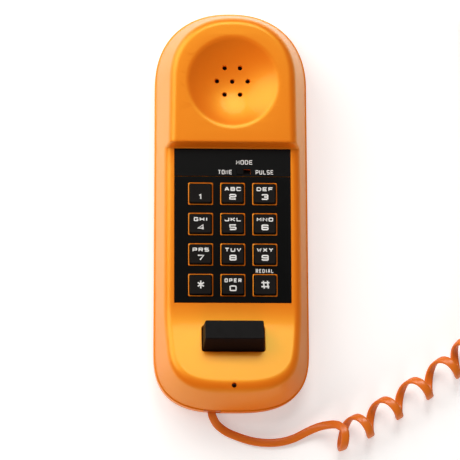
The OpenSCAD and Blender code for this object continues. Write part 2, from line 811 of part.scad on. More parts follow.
module receiver_gasket() {
    color("dimgray") ear_frame() tube(receiver_d / 2, seat_in + 0.3, seat_z - gasket_t, seat_z);
}

module receiver_capsule() {
    color("silver") ear_frame() {
        rod(receiver_d / 2, capsule_rim_back, capsule_front);
        rod(receiver_d / 2 - 3.4, capsule_front - receiver_t, capsule_rim_back + eps);
        rod(5, capsule_front - receiver_t - 1.2, capsule_front - receiver_t + eps, 32);
    }
}

module receiver_retainer() {
    color("ivory") ear_frame() difference() {
        union() {
            rod(receiver_d / 2 - eps, collar_end, capsule_rim_back);
            rod(collar_out, collar_end - retainer_t, collar_end);
            block(2 * retainer_screw_x, 6, collar_end - retainer_t, collar_end);
            for (side = [-1, 1]) translate([side * retainer_screw_x, 0, 0])
                rod(3, collar_end - retainer_t, collar_end, 32);
        }
        rod(receiver_d / 2 - 3.4 + loose_fit, collar_end - 2 * retainer_t, capsule_rim_back + cut);
        for (side = [-1, 1]) translate([side * retainer_screw_x, 0, 0])
            rod(small_screw_d / 2 + shank_fit, collar_end - 2 * retainer_t, collar_end + cut, 24);
    }
}

module receiver_screws() {
    color("silver") ear_frame() for (side = [-1, 1]) translate([side * retainer_screw_x, 0, 0])
        screw(small_screw_d, small_screw_len, small_head_d, small_head_t, collar_end - retainer_t);
}

// ---- microphone ----

module mic_boot() {
    color("dimgray") translate([0, mic_y, 0]) difference() {
        rod(boot_r, boot_top - mic_t - boot_floor, boot_top);
        rod(mic_d / 2 + thread_fit, boot_top - mic_t, boot_top + cut);
        rod(2.4, boot_top - mic_t - boot_floor - cut, boot_top, 24);
    }
}

module mic_capsule() {
    color("silver") translate([0, mic_y, 0]) {
        rod(mic_d / 2, boot_top - mic_t, boot_top - 0.5);
        rod(mic_d / 2 - 1.2, boot_top - 0.5 - eps, boot_top - 0.2);
    }
}

// ---- ringer, screws ----

module ringer() {
    color("black") translate([0, ringer_y, 0]) difference() {
        rod(ringer_d / 2, floor_z, floor_z + ringer_h);
        rod(ringer_d / 2 - 1.4, floor_z + 1.2, floor_z + ringer_h - 1);
        rod(2, floor_z - cut, floor_z + 2, 24);
    }
}

module case_screws() {
    color("silver") at_places(case_places)
        screw(case_screw_d, case_screw_len, case_head_d, case_head_t, well_depth);
}

// ---- cord ----

// Moulded block in the notch, grooved to grip the edge of the wall
module strain_relief() {
    flange_y = relief_in_y + relief_gap;
    color("chocolate") translate([-cord_x, relief_wall_y, 0]) {
        translate([0, (relief_inset + flange_y) / 2, 0])
            block(notch_w - 2 * close_fit, flange_y - relief_inset + eps,
                  relief_z0 + close_fit, seam_z - loose_fit);
        translate([0, flange_y + relief_flange_t / 2, 0])
            block(relief_flange_w, relief_flange_t, relief_flange_z0, seam_z - tongue_h - loose_fit);
    }
}

function along(route, i) =
    let (n = len(route) - 1,
         d = route[min(i + 1, n)] - route[max(i - 1, 0)])
    d / norm(d);

// Closed sweep along a route: width lies level, thickness stands up
module swept(route, w, h, sides, first, last) {
    rings = [for (i = [0:len(route) - 1])
        let (ahead = i == 0 ? first : i == len(route) - 1 ? last : along(route, i),
             level = cross(ahead, [0, 0, 1]) / norm(cross(ahead, [0, 0, 1])),
             up = cross(level, ahead))
        [for (k = [0:sides - 1])
            let (a = 360 * (k + 0.5) / sides, grow = 1 / cos(180 / sides))
            route[i] + level * (cos(a) * w / 2 * grow) + up * (sin(a) * h / 2 * grow)]];
    n = sides;
    last_ring = (len(route) - 1) * n;
    walls = [for (k = [0:len(route) - 2], i = [0:n - 1], half = [0, 1])
        let (a = k * n + i, b = k * n + (i + 1) % n, c = b + n, d = a + n)
        half == 0 ? [a, b, c] : [a, c, d]];
    ends = [[for (i = [n - 1:-1:0]) i], [for (i = [0:n - 1]) last_ring + i]];
    polyhedron(points = [for (ring = rings, p = ring) p], faces = concat(walls, ends), convexity = 8);
}

module cord_lead() {
    color("chocolate") swept(lead_route, cord_w, cord_t, 8, [0, -1, 0], along(curl_route, 0));
}

module cord_curl() {
    color("darkorange") swept(curl_route, curl_d, curl_d, 12, along(curl_route, 0), [0, 1, 0]);
}

module cord_store() {
    color("darkorange") translate([store_start[0], store_start[1], store_d / 2])
        rotate([-90, 0, 0]) cylinder(d = store_d, h = store_len, $fn = 48);
}

module cord_tail() {
    color("chocolate") swept(tail_route, cord_w, cord_t, 8, [0, 1, 0], [0, 1, 0]);
}

module line_plug() {
    color("lightgray") translate(plug_at + [0, plug_size[1] / 2, 0]) difference() {
        block(plug_size[0], plug_size[1], 0, plug_size[2]);
        for (x = plug_ways) translate([x, plug_size[1] / 2, 0])
            block(plug_slot_w, 2 * plug_slot_len, plug_size[2] - plug_slot_depth, plug_size[2] + cut);
    }
}

module plug_contacts() {
    color("gold") translate(plug_at + [0, plug_size[1], 0])
        for (x = plug_ways) translate([x, -plug_slot_len / 2, 0])
            block(plug_slot_w - 0.1, plug_slot_len - 0.2,
                  plug_size[2] - plug_slot_depth, plug_size[2] - 0.5);
}

front_shell();
back_shell();
keypad_overlay();
label_plate();
for (i = [0:len(key_names) - 1])
    key(key_places[i]);
key_mat();
circuit_board();
board_parts();
board_screws();
mode_switch();
mode_knob();
hook_plunger();
hook_springs();
hook_switch();
receiver_gasket();
receiver_capsule();
receiver_retainer();
receiver_screws();
mic_boot();
mic_capsule();
ringer();
case_screws();
strain_relief();
cord_lead();
cord_curl();
cord_store();
cord_tail();
line_plug();
plug_contacts();
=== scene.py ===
# One-piece keypad telephone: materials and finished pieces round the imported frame.
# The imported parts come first, with their box before anything is added. Sizes below are in
# millimetres and are turned into metres by MM.
import math

import bmesh
import bpy
from mathutils import Matrix, Vector


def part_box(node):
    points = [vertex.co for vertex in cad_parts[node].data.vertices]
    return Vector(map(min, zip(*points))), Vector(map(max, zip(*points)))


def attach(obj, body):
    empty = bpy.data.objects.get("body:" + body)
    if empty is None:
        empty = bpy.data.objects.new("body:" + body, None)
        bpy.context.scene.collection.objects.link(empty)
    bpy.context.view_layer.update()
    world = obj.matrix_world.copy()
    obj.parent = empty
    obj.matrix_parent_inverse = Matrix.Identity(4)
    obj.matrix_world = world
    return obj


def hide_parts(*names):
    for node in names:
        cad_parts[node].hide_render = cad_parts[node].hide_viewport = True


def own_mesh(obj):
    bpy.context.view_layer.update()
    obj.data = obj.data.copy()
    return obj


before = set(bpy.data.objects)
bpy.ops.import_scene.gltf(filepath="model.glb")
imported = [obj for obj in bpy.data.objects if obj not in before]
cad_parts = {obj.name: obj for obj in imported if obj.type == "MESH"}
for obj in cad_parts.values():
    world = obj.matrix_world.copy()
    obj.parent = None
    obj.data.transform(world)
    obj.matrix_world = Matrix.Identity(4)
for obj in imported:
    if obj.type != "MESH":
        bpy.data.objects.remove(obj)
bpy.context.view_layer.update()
bpy.ops.object.select_all(action="DESELECT")
MM = 0.001

# ---------------------------------------------------------------------------
# Camera: a long lens above the telephone, which lies on its back.
# It leans a little towards the mouth end and to the left.
AIM = Vector((-1.46, -13.38, 30)) * MM
LEAN = Vector((-0.055, -0.167, 1)).normalized()
DISTANCE = 1.231
SPAN = 0.24324
SENSOR = 36
ROLL = -0.18

camera = bpy.data.objects.new("camera", bpy.data.cameras.new("camera"))
bpy.context.scene.collection.objects.link(camera)
camera.location = AIM + LEAN * DISTANCE
right = Vector((0, 1, 0)).cross(LEAN).normalized()
camera.rotation_euler = (
    Matrix((right, LEAN.cross(right), LEAN)).transposed() @ Matrix.Rotation(math.radians(ROLL), 3, "Z")
).to_euler()
camera.data.sensor_width = SENSOR
camera.data.lens = SENSOR * DISTANCE / SPAN
camera.data.clip_start = 0.05
bpy.context.scene.camera = camera
bpy.context.scene.view_settings.view_transform = "Standard"

# ---------------------------------------------------------------------------
# Line cord: flat PVC ribbon, straight where it leaves the housing, then wound in a long curl.
# It is one tube with flat sides. The curl is stretched beside the telephone and closes up
# to its relaxed winding behind the first bend, where the spare length lies.
CORD_WIDTH = 4.4
CORD_THICK = 2.2
CORD_EXIT = Vector((-10.3, -107.61, 7.4))
LEAD = [
    (0, 0, 7.4), (0.2, -1.7, 7.2), (1.1, -3.7, 6), (2.7, -6.1, 3.9), (5.2, -8.3, 2.1), (8.6, -10.5, 1.5),
    (12.6, -12.2, 1.4), (17.6, -14, 1.4), (23.6, -15.5, 1.4), (30.5, -16.1, 1.4), (37.5, -15.6, 1.6),
    (44.5, -13.6, 2.1), (50.9, -10.4, 3.1), (56.9, -7.9, 5), (62.1, -6.9, 7.8), (66.7, -7.1, 11)]
CURL = [
    (67.9, -13.2), (73.4, -11.2), (82.3, -6.4), (90.3, -1.4), (98.2, 3.7), (106.2, 8.9), (114.1, 14.2),
    (122, 19.8), (129.5, 25.5), (135.9, 31.6), (140.9, 38.6), (143.9, 47.1), (144.8, 56.1), (144.8, 81),
    (144.8, 121), (144.8, 161), (144.8, 201), (144.8, 232.1)]
TAIL = [
    (0, 0.5, 1.6), (0, 3, 1.5), (-0.4, 7, 1.5), (-1.4, 11, 1.6), (-2.3, 15, 2.2), (-2.7, 18, 3),
    (-2.8, 20.5, 3.4)]
CURL_RADIUS = (6.6, 6.05)
CURL_HEIGHT = (8.0, 7.5)
# Turns of the curl against the distance along its axis
WINDING = [
    (0, -0.5), (0.5, 1.8), (1, 8.4), (1.5, 17.2), (2, 26), (3, 45), (4, 64.5), (4.9, 80), (5.8, 92.5),
    (6.8, 102.5), (7.9, 110), (8.9, 115)]
CLOSED_PITCH = 4.72
FIRST_TURN = 0.19
LAST_TURN_CUT = 0.25
STEPS_PER_TURN = 24
# Where the stretched curl starts to close up, over how far, and how much its turns lean before
CLOSING_START = 70
CLOSING_RUN = 40
OPEN_LEAN = 0.35
# Steps of the path in which the flat side turns, into the curl and out of it
LEAD_TWIST_START = 9
LEAD_TWIST = 12
TAIL_TWIST = 5
# The lower, the squarer the ribbon's section
SECTION_POWER = 0.6
UP = Vector((0, 0, 1))


def smooth_route(points, steps):
    """Points on one smooth curve through the given ones."""
    route = []
    for i in range(len(points) - 1):
        before, start = points[max(i - 1, 0)], points[i]
        end, after = points[i + 1], points[min(i + 2, len(points) - 1)]
        for k in range(steps):
            t = k / steps
            route.append(
                0.5 * ((2 * start) + (end - before) * t
                       + (2 * before - 5 * start + 4 * end - after) * t * t
                       + (3 * start - before - 3 * end + after) * t ** 3))
    route.append(points[-1])
    return route


def between(table, value):
    """Value of the second column where the first one passes the given value."""
    for (x0, y0), (x1, y1) in zip(table, table[1:]):
        if value <= x1:
            return y0 + (y1 - y0) * (value - x0) / (x1 - x0)
    return table[-1][1]


axis = smooth_route([Vector((CORD_EXIT.x + x, CORD_EXIT.y + y, 0)) for x, y in CURL], steps=12)
axis_place = [0.0]
for first, second in zip(axis, axis[1:]):
    axis_place.append(axis_place[-1] + (second - first).length)
axis_length = axis_place[-1]
winding = smooth_route([Vector((turn, place, 0)) for turn, place in WINDING], steps=6)
winding = [(v.x, v.y) for v in winding]
last_turn, last_place = winding[-1]
closed_turns = math.floor((axis_length - last_place) / CLOSED_PITCH)
winding.append((last_turn + closed_turns, last_place + closed_turns * CLOSED_PITCH))
total_turns = math.floor(winding[-1][0]) - LAST_TURN_CUT


def curl_point(turn):
    """A point of the curl and the direction that its flat side faces."""
    place = between(winding, turn)
    k = min(max(sum(1 for p in axis_place if p <= place) - 1, 0), len(axis) - 2)
    share = (place - axis_place[k]) / (axis_place[k + 1] - axis_place[k])
    ahead = (axis[k + 1] - axis[k]).normalized()
    side = Vector((-ahead.y, ahead.x, 0))
    closing = min(max((place - CLOSING_START) / CLOSING_RUN, 0), 1)
    radius = CURL_RADIUS[0] + (CURL_RADIUS[1] - CURL_RADIUS[0]) * closing
    height = CURL_HEIGHT[0] + (CURL_HEIGHT[1] - CURL_HEIGHT[0]) * closing
    angle = 2 * math.pi * turn
    lean = OPEN_LEAN * (1 - closing)
    point = axis[k] + (axis[k + 1] - axis[k]) * share + Vector((0, 0, height))
    point += radius * (math.cos(angle) * (side + lean * ahead) + math.sin(angle) * (UP + lean * ahead))
    return point, math.cos(angle) * side + math.sin(angle) * UP


curl_steps = round((total_turns - FIRST_TURN) * STEPS_PER_TURN)
curl_points, curl_faces = zip(
    *[curl_point(FIRST_TURN + i / STEPS_PER_TURN) for i in range(curl_steps + 1)])
lead_points = [Vector((CORD_EXIT.x + x, CORD_EXIT.y + y, z)) for x, y, z in LEAD]
lead = smooth_route(lead_points + [curl_points[0]], steps=2)[:-1]
tail_start = Vector((CORD_EXIT.x + CURL[-1][0], CORD_EXIT.y + CURL[-1][1], 0))
tail_points = [tail_start + Vector(p) for p in TAIL]
tail = smooth_route([curl_points[-1]] + tail_points, steps=3)[1:]
cord_path = lead + list(curl_points) + tail
facing = []
for i in range(len(lead)):
    turned = min(max((i - len(lead) + LEAD_TWIST_START) / LEAD_TWIST, 0), 1)
    facing.append(UP.lerp(curl_faces[0], turned))
facing += list(curl_faces)
for i in range(len(tail)):
    turned = min((i + 1) / TAIL_TWIST, 1)
    facing.append(curl_faces[-1].lerp(UP, turned))


def flat_tube(name, path, facing, width, thick, sides=14):
    """Closed tube along a path, with its flat sides square to the given directions."""
    mesh = bmesh.new()
    rings = []
    for i, point in enumerate(path):
        ahead = (path[min(i + 1, len(path) - 1)] - path[max(i - 1, 0)]).normalized()
        across = ahead.cross(facing[i]).normalized()
        out = across.cross(ahead).normalized()
        ring = []
        for k in range(sides):
            turn = 2 * math.pi * (k + 0.5) / sides
            u, v = math.cos(turn), math.sin(turn)
            x = math.copysign(abs(u) ** SECTION_POWER, u) * width / 2
            y = math.copysign(abs(v) ** SECTION_POWER, v) * thick / 2
            ring.append(mesh.verts.new((point + across * x + out * y) * MM))
        rings.append(ring)
    for first, second in zip(rings, rings[1:]):
        for k in range(sides):
            mesh.faces.new((first[k], first[(k + 1) % sides], second[(k + 1) % sides], second[k]))
    mesh.faces.new(rings[0][::-1])
    mesh.faces.new(rings[-1])
    bmesh.ops.recalc_face_normals(mesh, faces=mesh.faces[:])
    data = bpy.data.meshes.new(name)
    mesh.to_mesh(data)
    mesh.free()
    piece = bpy.data.objects.new(name, data)
    bpy.context.scene.collection.objects.link(piece)
    return piece


def only(piece):
    """Makes a piece the only one selected, and the active one."""
    bpy.ops.object.select_all(action="DESELECT")
    piece.select_set(True)
    bpy.context.view_layer.objects.active = piece


def smoothed(piece, angle=35):
    """Shades a piece smooth, except across edges sharper than the angle in degrees."""
    only(piece)
    bpy.ops.object.shade_smooth_by_angle(angle=math.radians(angle))


line_cord = flat_tube("line_cord", cord_path, facing, CORD_WIDTH, CORD_THICK)
smoothed(line_cord, angle=60)


# Node group for moulded plastic: slow drift of the colour, fine grain in the surface and
# a few faint rubbed places. Every moulded finish uses it with its own values.
DRIFT_SCALE = 28
DRIFT_SHADE = (0.93, 1.05)
RUB_SCALE = 160
RUB_RANGE = (0.55, 0.75)
RUB_ROUGHENS = 0.5
GRAIN_HEIGHT = 0.0002
COAT_ROUGHNESS = 0.12


def new_group(name, inputs, outputs):
    """Empty shader group with its sockets, and the nodes that stand for its two sides."""
    group = bpy.data.node_groups.new(name, "ShaderNodeTree")
    for label, kind, value in inputs:
        socket = group.interface.new_socket(label, in_out="INPUT", socket_type=kind)
        socket.default_value = value
    for label, kind in outputs:
        group.interface.new_socket(label, in_out="OUTPUT", socket_type=kind)
    return group, group.nodes.new("NodeGroupInput"), group.nodes.new("NodeGroupOutput")


def preset(node, values):
    """Sets a node's own sockets by their names."""
    for label, value in values.items():
        node.inputs[label].default_value = value
    return node


def moulded_surface_group():
    group, given, result = new_group(
        "moulded_surface",
        [("Colour", "NodeSocketColor", (1, 1, 1, 1)), ("Rubbed Colour", "NodeSocketColor", (1, 1, 1, 1)),
         ("Roughness", "NodeSocketFloat", 0.4), ("Rubbed", "NodeSocketFloat", 0.2),
         ("Grain Scale", "NodeSocketFloat", 900.0), ("Grain Depth", "NodeSocketFloat", 0.1)],
        [("Colour", "NodeSocketColor"), ("Roughness", "NodeSocketFloat"), ("Normal", "NodeSocketVector")])
    nodes, link = group.nodes, group.links.new
    place = nodes.new("ShaderNodeTexCoord")
    drift = preset(nodes.new("ShaderNodeTexNoise"), {"Scale": DRIFT_SCALE, "Detail": 4})
    rub = preset(nodes.new("ShaderNodeTexNoise"), {"Scale": RUB_SCALE, "Detail": 6, "Roughness": 0.7})
    grain = preset(nodes.new("ShaderNodeTexNoise"), {"Detail": 2})
    link(given.outputs["Grain Scale"], grain.inputs["Scale"])
    for texture in (drift, rub, grain):
        link(place.outputs["Object"], texture.inputs["Vector"])
    rubbed = preset(nodes.new("ShaderNodeMapRange"), {"From Min": RUB_RANGE[0], "From Max": RUB_RANGE[1]})
    link(rub.outputs["Fac"], rubbed.inputs["Value"])
    amount = nodes.new("ShaderNodeMath")
    amount.operation = "MULTIPLY"
    link(rubbed.outputs["Result"], amount.inputs[0])
    link(given.outputs["Rubbed"], amount.inputs[1])
    mix = nodes.new("ShaderNodeMix")
    mix.data_type = "RGBA"
    link(amount.outputs["Value"], mix.inputs["Factor"])
    link(given.outputs["Colour"], mix.inputs["A"])
    link(given.outputs["Rubbed Colour"], mix.inputs["B"])
    shade = preset(nodes.new("ShaderNodeMapRange"), {"To Min": DRIFT_SHADE[0], "To Max": DRIFT_SHADE[1]})
    link(drift.outputs["Fac"], shade.inputs["Value"])
    tint = nodes.new("ShaderNodeVectorMath")
    tint.operation = "SCALE"
    link(mix.outputs["Result"], tint.inputs["Vector"])
    link(shade.outputs["Result"], tint.inputs["Scale"])
    link(tint.outputs["Vector"], result.inputs["Colour"])
    rough = nodes.new("ShaderNodeMath")
    rough.operation = "MULTIPLY_ADD"
    rough.inputs[1].default_value = RUB_ROUGHENS
    link(amount.outputs["Value"], rough.inputs[0])
    link(given.outputs["Roughness"], rough.inputs[2])
    link(rough.outputs["Value"], result.inputs["Roughness"])
    bump = preset(nodes.new("ShaderNodeBump"), {"Distance": GRAIN_HEIGHT})
    link(given.outputs["Grain Depth"], bump.inputs["Strength"])
    link(grain.outputs["Fac"], bump.inputs["Height"])
    link(bump.outputs["Normal"], result.inputs["Normal"])
    return group


moulded_surface = moulded_surface_group()


def srgb(red, green, blue):
    """Screen colour, 0 to 255, as the shader's linear colour."""
    return tuple((c / 255 / 12.92 if c / 255 <= 0.04045 else ((c / 255 + 0.055) / 1.055) ** 2.4)
                 for c in (red, green, blue)) + (1,)


def moulded(name, colour, rubbed_colour, roughness, rubbed=0.2, grain_scale=900, grain_depth=0.1, coat=0.0,
            metallic=0.0, specular=0.5, gloss=(1, 1, 1, 1), ior=1.5, clear=0.0):
    """Material of a moulded or pressed piece, from the group above."""
    material = bpy.data.materials.new(name)
    material.use_nodes = True
    nodes, link = material.node_tree.nodes, material.node_tree.links.new
    shader = nodes["Principled BSDF"]
    surface = nodes.new("ShaderNodeGroup")
    surface.node_tree = moulded_surface
    preset(surface, {"Colour": colour, "Rubbed Colour": rubbed_colour, "Roughness": roughness,
                     "Rubbed": rubbed, "Grain Scale": grain_scale, "Grain Depth": grain_depth})
    for given, taken in (("Colour", "Base Color"), ("Roughness", "Roughness"), ("Normal", "Normal")):
        link(surface.outputs[given], shader.inputs[taken])
    preset(shader, {"Metallic": metallic, "Specular IOR Level": specular, "Specular Tint": gloss,
                    "IOR": ior, "Transmission Weight": clear, "Coat Weight": coat,
                    "Coat Roughness": COAT_ROUGHNESS})
    return material


def dress(piece, material):
    """Gives a piece its one material."""
    piece.data.materials.clear()
    piece.data.materials.append(material)


cord_pvc = moulded("cord_pvc", srgb(238, 118, 24), srgb(242, 138, 46), roughness=0.34, rubbed=0.25,
                   grain_scale=700, grain_depth=0.12, coat=0.2)
dress(line_cord, cord_pvc)
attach(line_cord, "housing")
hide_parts("cord_lead", "cord_curl", "cord_store", "cord_tail")

# ---------------------------------------------------------------------------
# Front moulding: orange ABS shell with the ear dish, the keypad plane and the rising chin.
# Its skin is lofted from the same outline and face curves as the part, cut hollow, and then
# opened for the dish, the panel, the keys, the plunger and the holes.
SEAM_Z = 14
FACE_Z = 30
EAR_RISE = 7.5
EAR_TILT = math.radians(2)
WALL_DRAFT = math.radians(18)
MOUTH_DRAFT = math.radians(18)
EDGE_TURN = math.pi / 2 - WALL_DRAFT
EDGE_STEPS = 10
EDGE_ROUND = 5
MOUTH_EDGE_ROUND = 7.5
HOLLOW_ROUND = 2
HOLLOW_STEPS = 3
WALL = 2.4
SEAM_STEP = 0.6
SEAM_CHAMFER = 0.3
EAR_R = 41
EAR_REACH = 0.4
EAR_POWER = 2.25
MOUTH_R = 41.4
BODY_LENGTH = 216.4
EAR_Y = BODY_LENGTH / 2 - EAR_R - EAR_REACH
STEP_Y = EAR_Y - 33.4
STEP_RUN = 2.9
STEP_MARGIN = 1
PANEL_H = 82.8
PANEL_TOP = STEP_Y - STEP_RUN
PANEL_BOTTOM = PANEL_TOP - PANEL_H
CHIN_START = PANEL_BOTTOM - 0.7
CHIN_BLEND = 60
CHIN_ANGLE = math.radians(15)
MOUTH_ROUND = 34
MOUTH_POWER = 2.9
MOUTH_Y = MOUTH_ROUND - BODY_LENGTH / 2
# How far a cutter reaches past what it cuts
OVERCUT = 1


def face_height(y):
    """Height of the outer face along the housing."""
    def ear_plane(place):
        return FACE_Z + EAR_RISE + (place - EAR_Y) * math.tan(EAR_TILT)
    if y >= STEP_Y:
        return ear_plane(y)
    if y > PANEL_TOP:
        share = (y - PANEL_TOP) / STEP_RUN
        return FACE_Z + (ear_plane(STEP_Y) - FACE_Z) * (1 - math.cos(math.pi * share)) / 2
    down = CHIN_START - y
    bend = CHIN_BLEND * math.sin(CHIN_ANGLE)
    if down <= 0:
        return FACE_Z
    if down < bend:
        return FACE_Z + CHIN_BLEND - math.sqrt(CHIN_BLEND ** 2 - down ** 2)
    return FACE_Z + CHIN_BLEND * (1 - math.cos(CHIN_ANGLE)) + (down - bend) * math.tan(CHIN_ANGLE)


def sunk_face(y, drop):
    """Height of the face at a depth below the outer one."""
    return min(face_height(y), face_height(y - drop)) - drop


def wall_inset(z):
    """How far the drafted wall stands inside the tray's outline."""
    return SEAM_STEP + math.tan(WALL_DRAFT) * (z - SEAM_Z)


def outline_stations(fine):
    """Places round the right half of the outline, from the ear end to the mouth end."""
    ys = [EAR_Y - (EAR_Y - STEP_Y - STEP_MARGIN) * i / fine for i in range(1, fine + 1)]
    ys += [STEP_Y - STEP_RUN * i / (2 * fine) for i in range(2 * fine + 1)]
    ys += [PANEL_TOP - (PANEL_TOP - CHIN_START) * i / fine for i in range(1, fine)]
    ys += [CHIN_START - (CHIN_START - MOUTH_Y) * i / (2 * fine) for i in range(2 * fine)]
    arcs = 6 * fine
    return ([("ear", math.pi / 2 * i / arcs) for i in range(arcs + 1)] + [("side", y) for y in ys]
            + [("mouth", math.pi / 2 * i / arcs) for i in range(arcs + 1)])


def outline_point(station, inset):
    """Place of a station on the outline, moved inwards by the inset."""
    stretch, value = station
    if stretch == "ear":
        return ((EAR_R - inset) * math.sin(value) ** (2 / EAR_POWER),
                EAR_Y + (EAR_R + EAR_REACH - inset) * max(math.cos(value), 0) ** (2 / EAR_POWER))
    if stretch == "side":
        return EAR_R + (MOUTH_R - EAR_R) * (EAR_Y - value) / (EAR_Y - MOUTH_Y) - inset, value
    share = math.tan(MOUTH_DRAFT) / math.tan(WALL_DRAFT)
    return ((MOUTH_R - inset) * max(math.cos(value), 0) ** (2 / MOUTH_POWER),
            MOUTH_Y - (MOUTH_ROUND - inset * share) * math.sin(value) ** (2 / MOUTH_POWER))


def mirrored(half):
    """Closed ring from its right half, in metres."""
    return [Vector(p) * MM for p in half] + [Vector((-x, y, z)) * MM for x, y, z in half[-2:0:-1]]


def level_ring(stations, z, inset):
    """Ring of the whole outline at one height."""
    return mirrored([outline_point(s, inset) + (z,) for s in stations])


def edge_ring(stations, drop, side, radius, turn):
    """Ring on the rounding between wall and face, softer at the mouth. Turn is 0 at the face."""
    half = []
    widest = MOUTH_EDGE_ROUND if radius == EDGE_ROUND else radius
    for station in stations:
        share = math.sin(station[1]) ** 2 if station[0] == "mouth" else 0
        bend = radius + (widest - radius) * share
        near_y = outline_point(station, wall_inset(FACE_Z + EAR_RISE) + side)[1]
        reach = side + wall_inset(sunk_face(near_y, drop)) + bend * math.tan(EDGE_TURN / 2)
        x, y = outline_point(station, reach - bend * math.sin(turn))
        half.append((x, y, sunk_face(y, drop) - bend * (1 - math.cos(turn))))
    return mirrored(half)


def lofted(name, rings, ladder=False):
    """Solid from a disc that is extruded from ring to ring. A ladder lid follows a curved face."""
    bpy.ops.object.select_all(action="DESELECT")
    bpy.ops.mesh.primitive_circle_add(vertices=len(rings[0]), radius=MM, fill_type="NGON")
    piece = bpy.context.object
    piece.name = name
    bpy.ops.object.mode_set(mode="EDIT")
    mesh = bmesh.from_edit_mesh(piece.data)
    place = mesh.verts.layers.int.new("place")
    for i, vert in enumerate(mesh.verts):
        vert[place] = i
        vert.co = rings[0][i]
    for ring in rings[1:]:
        bpy.ops.mesh.extrude_region_move()
        mesh = bmesh.from_edit_mesh(piece.data)
        place = mesh.verts.layers.int["place"]
        for vert in mesh.verts:
            if vert.select:
                vert.co = ring[vert[place]]
    if ladder:
        bpy.ops.mesh.delete(type="ONLY_FACE")
        mesh = bmesh.from_edit_mesh(piece.data)
        place = mesh.verts.layers.int["place"]
        top = sorted((v for v in mesh.verts if v.select or v.is_boundary), key=lambda v: v[place])
        n, last = len(top), len(top) // 2
        for i in range(last):
            mesh.faces.new([top[k] for k in dict.fromkeys((i, i + 1, n - i - 1, (n - i) % n))])
    bmesh.update_edit_mesh(piece.data)
    bpy.ops.mesh.select_all(action="SELECT")
    bpy.ops.mesh.normals_make_consistent(inside=False)
    bpy.ops.object.mode_set(mode="OBJECT")
    piece.data.attributes.remove(piece.data.attributes["place"])
    return piece


def carve(piece, cutter, operation="DIFFERENCE"):
    """Cuts a piece with another one, which is used up."""
    only(piece)
    modifier = piece.modifiers.new("carve", "BOOLEAN")
    modifier.operation = operation
    modifier.solver = "MANIFOLD"
    modifier.object = cutter
    bpy.ops.object.modifier_apply(modifier=modifier.name)
    bpy.data.objects.remove(cutter)


def rounded_ring(width, height, corner, z, centre=(0, 0), steps=5):
    """Ring of a rectangle with round corners."""
    ring = []
    for quarter, (sx, sy) in enumerate(((1, 1), (-1, 1), (-1, -1), (1, -1))):
        for i in range(steps + 1):
            turn = math.pi / 2 * (quarter + i / steps)
            x = centre[0] + sx * (width / 2 - corner) + corner * math.cos(turn)
            y = centre[1] + sy * (height / 2 - corner) + corner * math.sin(turn)
            ring.append(Vector((x, y, z)) * MM)
    return ring


def stacked(name, layers, centre=(0, 0)):
    """Solid from rounded rectangles, each given as its width, height, corner and z."""
    return lofted(name, [rounded_ring(*layer, centre) for layer in layers])


def lathed(name, profile, matrix, steps=96):
    """Solid spun from a profile of (radius, height) that starts and ends on its axis."""
    bpy.ops.object.select_all(action="DESELECT")
    bpy.ops.mesh.primitive_circle_add(vertices=3, radius=MM)
    piece = bpy.context.object
    piece.name = name
    bpy.ops.object.mode_set(mode="EDIT")
    bpy.ops.mesh.delete(type="VERT")
    mesh = bmesh.from_edit_mesh(piece.data)
    verts = [mesh.verts.new((radius * MM, 0, height * MM)) for radius, height in profile]
    for first, second in zip(verts, verts[1:]):
        mesh.edges.new((first, second))
    bmesh.update_edit_mesh(piece.data)
    bpy.ops.mesh.select_all(action="SELECT")
    bpy.ops.mesh.spin(steps=steps, angle=2 * math.pi, center=(0, 0, 0), axis=(0, 0, 1))
    bpy.ops.mesh.select_all(action="SELECT")
    bpy.ops.mesh.remove_doubles(threshold=1e-6)
    bpy.ops.mesh.normals_make_consistent(inside=False)
    bpy.ops.object.mode_set(mode="OBJECT")
    piece.data.transform(matrix)
    return piece


def peg(name, corners, matrix, sides=32):
    """Round solid from the (radius, height) corners of its side, bottom first."""
    return lathed(name, [(0, corners[0][1])] + corners + [(0, corners[-1][1])], matrix, sides)


def at(x, y, z=0):
    """Shift by millimetres."""
    return Matrix.Translation(Vector((x, y, z)) * MM)


def seven_spots(pitch):
    """The middle of a hexagon and its six corners."""
    corner = math.pi / 3
    return [(0, 0)] + [(pitch * math.cos(corner * i), pitch * math.sin(corner * i)) for i in range(6)]


fine_stations = outline_stations(fine=9)
coarse_stations = outline_stations(fine=4)
skin_rings = [level_ring(fine_stations, SEAM_Z, SEAM_CHAMFER + SEAM_STEP),
              level_ring(fine_stations, SEAM_Z + SEAM_CHAMFER, wall_inset(SEAM_Z + SEAM_CHAMFER))]
skin_rings += [edge_ring(fine_stations, 0, 0, EDGE_ROUND, EDGE_TURN * (1 - i / EDGE_STEPS))
               for i in range(EDGE_STEPS + 1)]
front_moulding = lofted("front_moulding", skin_rings, ladder=True)

wall_side = WALL / math.cos(WALL_DRAFT)
hollow_rings = [level_ring(coarse_stations, SEAM_Z - OVERCUT, wall_side + wall_inset(SEAM_Z - OVERCUT))]
hollow_rings += [edge_ring(coarse_stations, WALL, wall_side, HOLLOW_ROUND, EDGE_TURN * (1 - i / HOLLOW_STEPS))
                 for i in range(HOLLOW_STEPS + 1)]
hollow = lofted("hollow", hollow_rings, ladder=True)

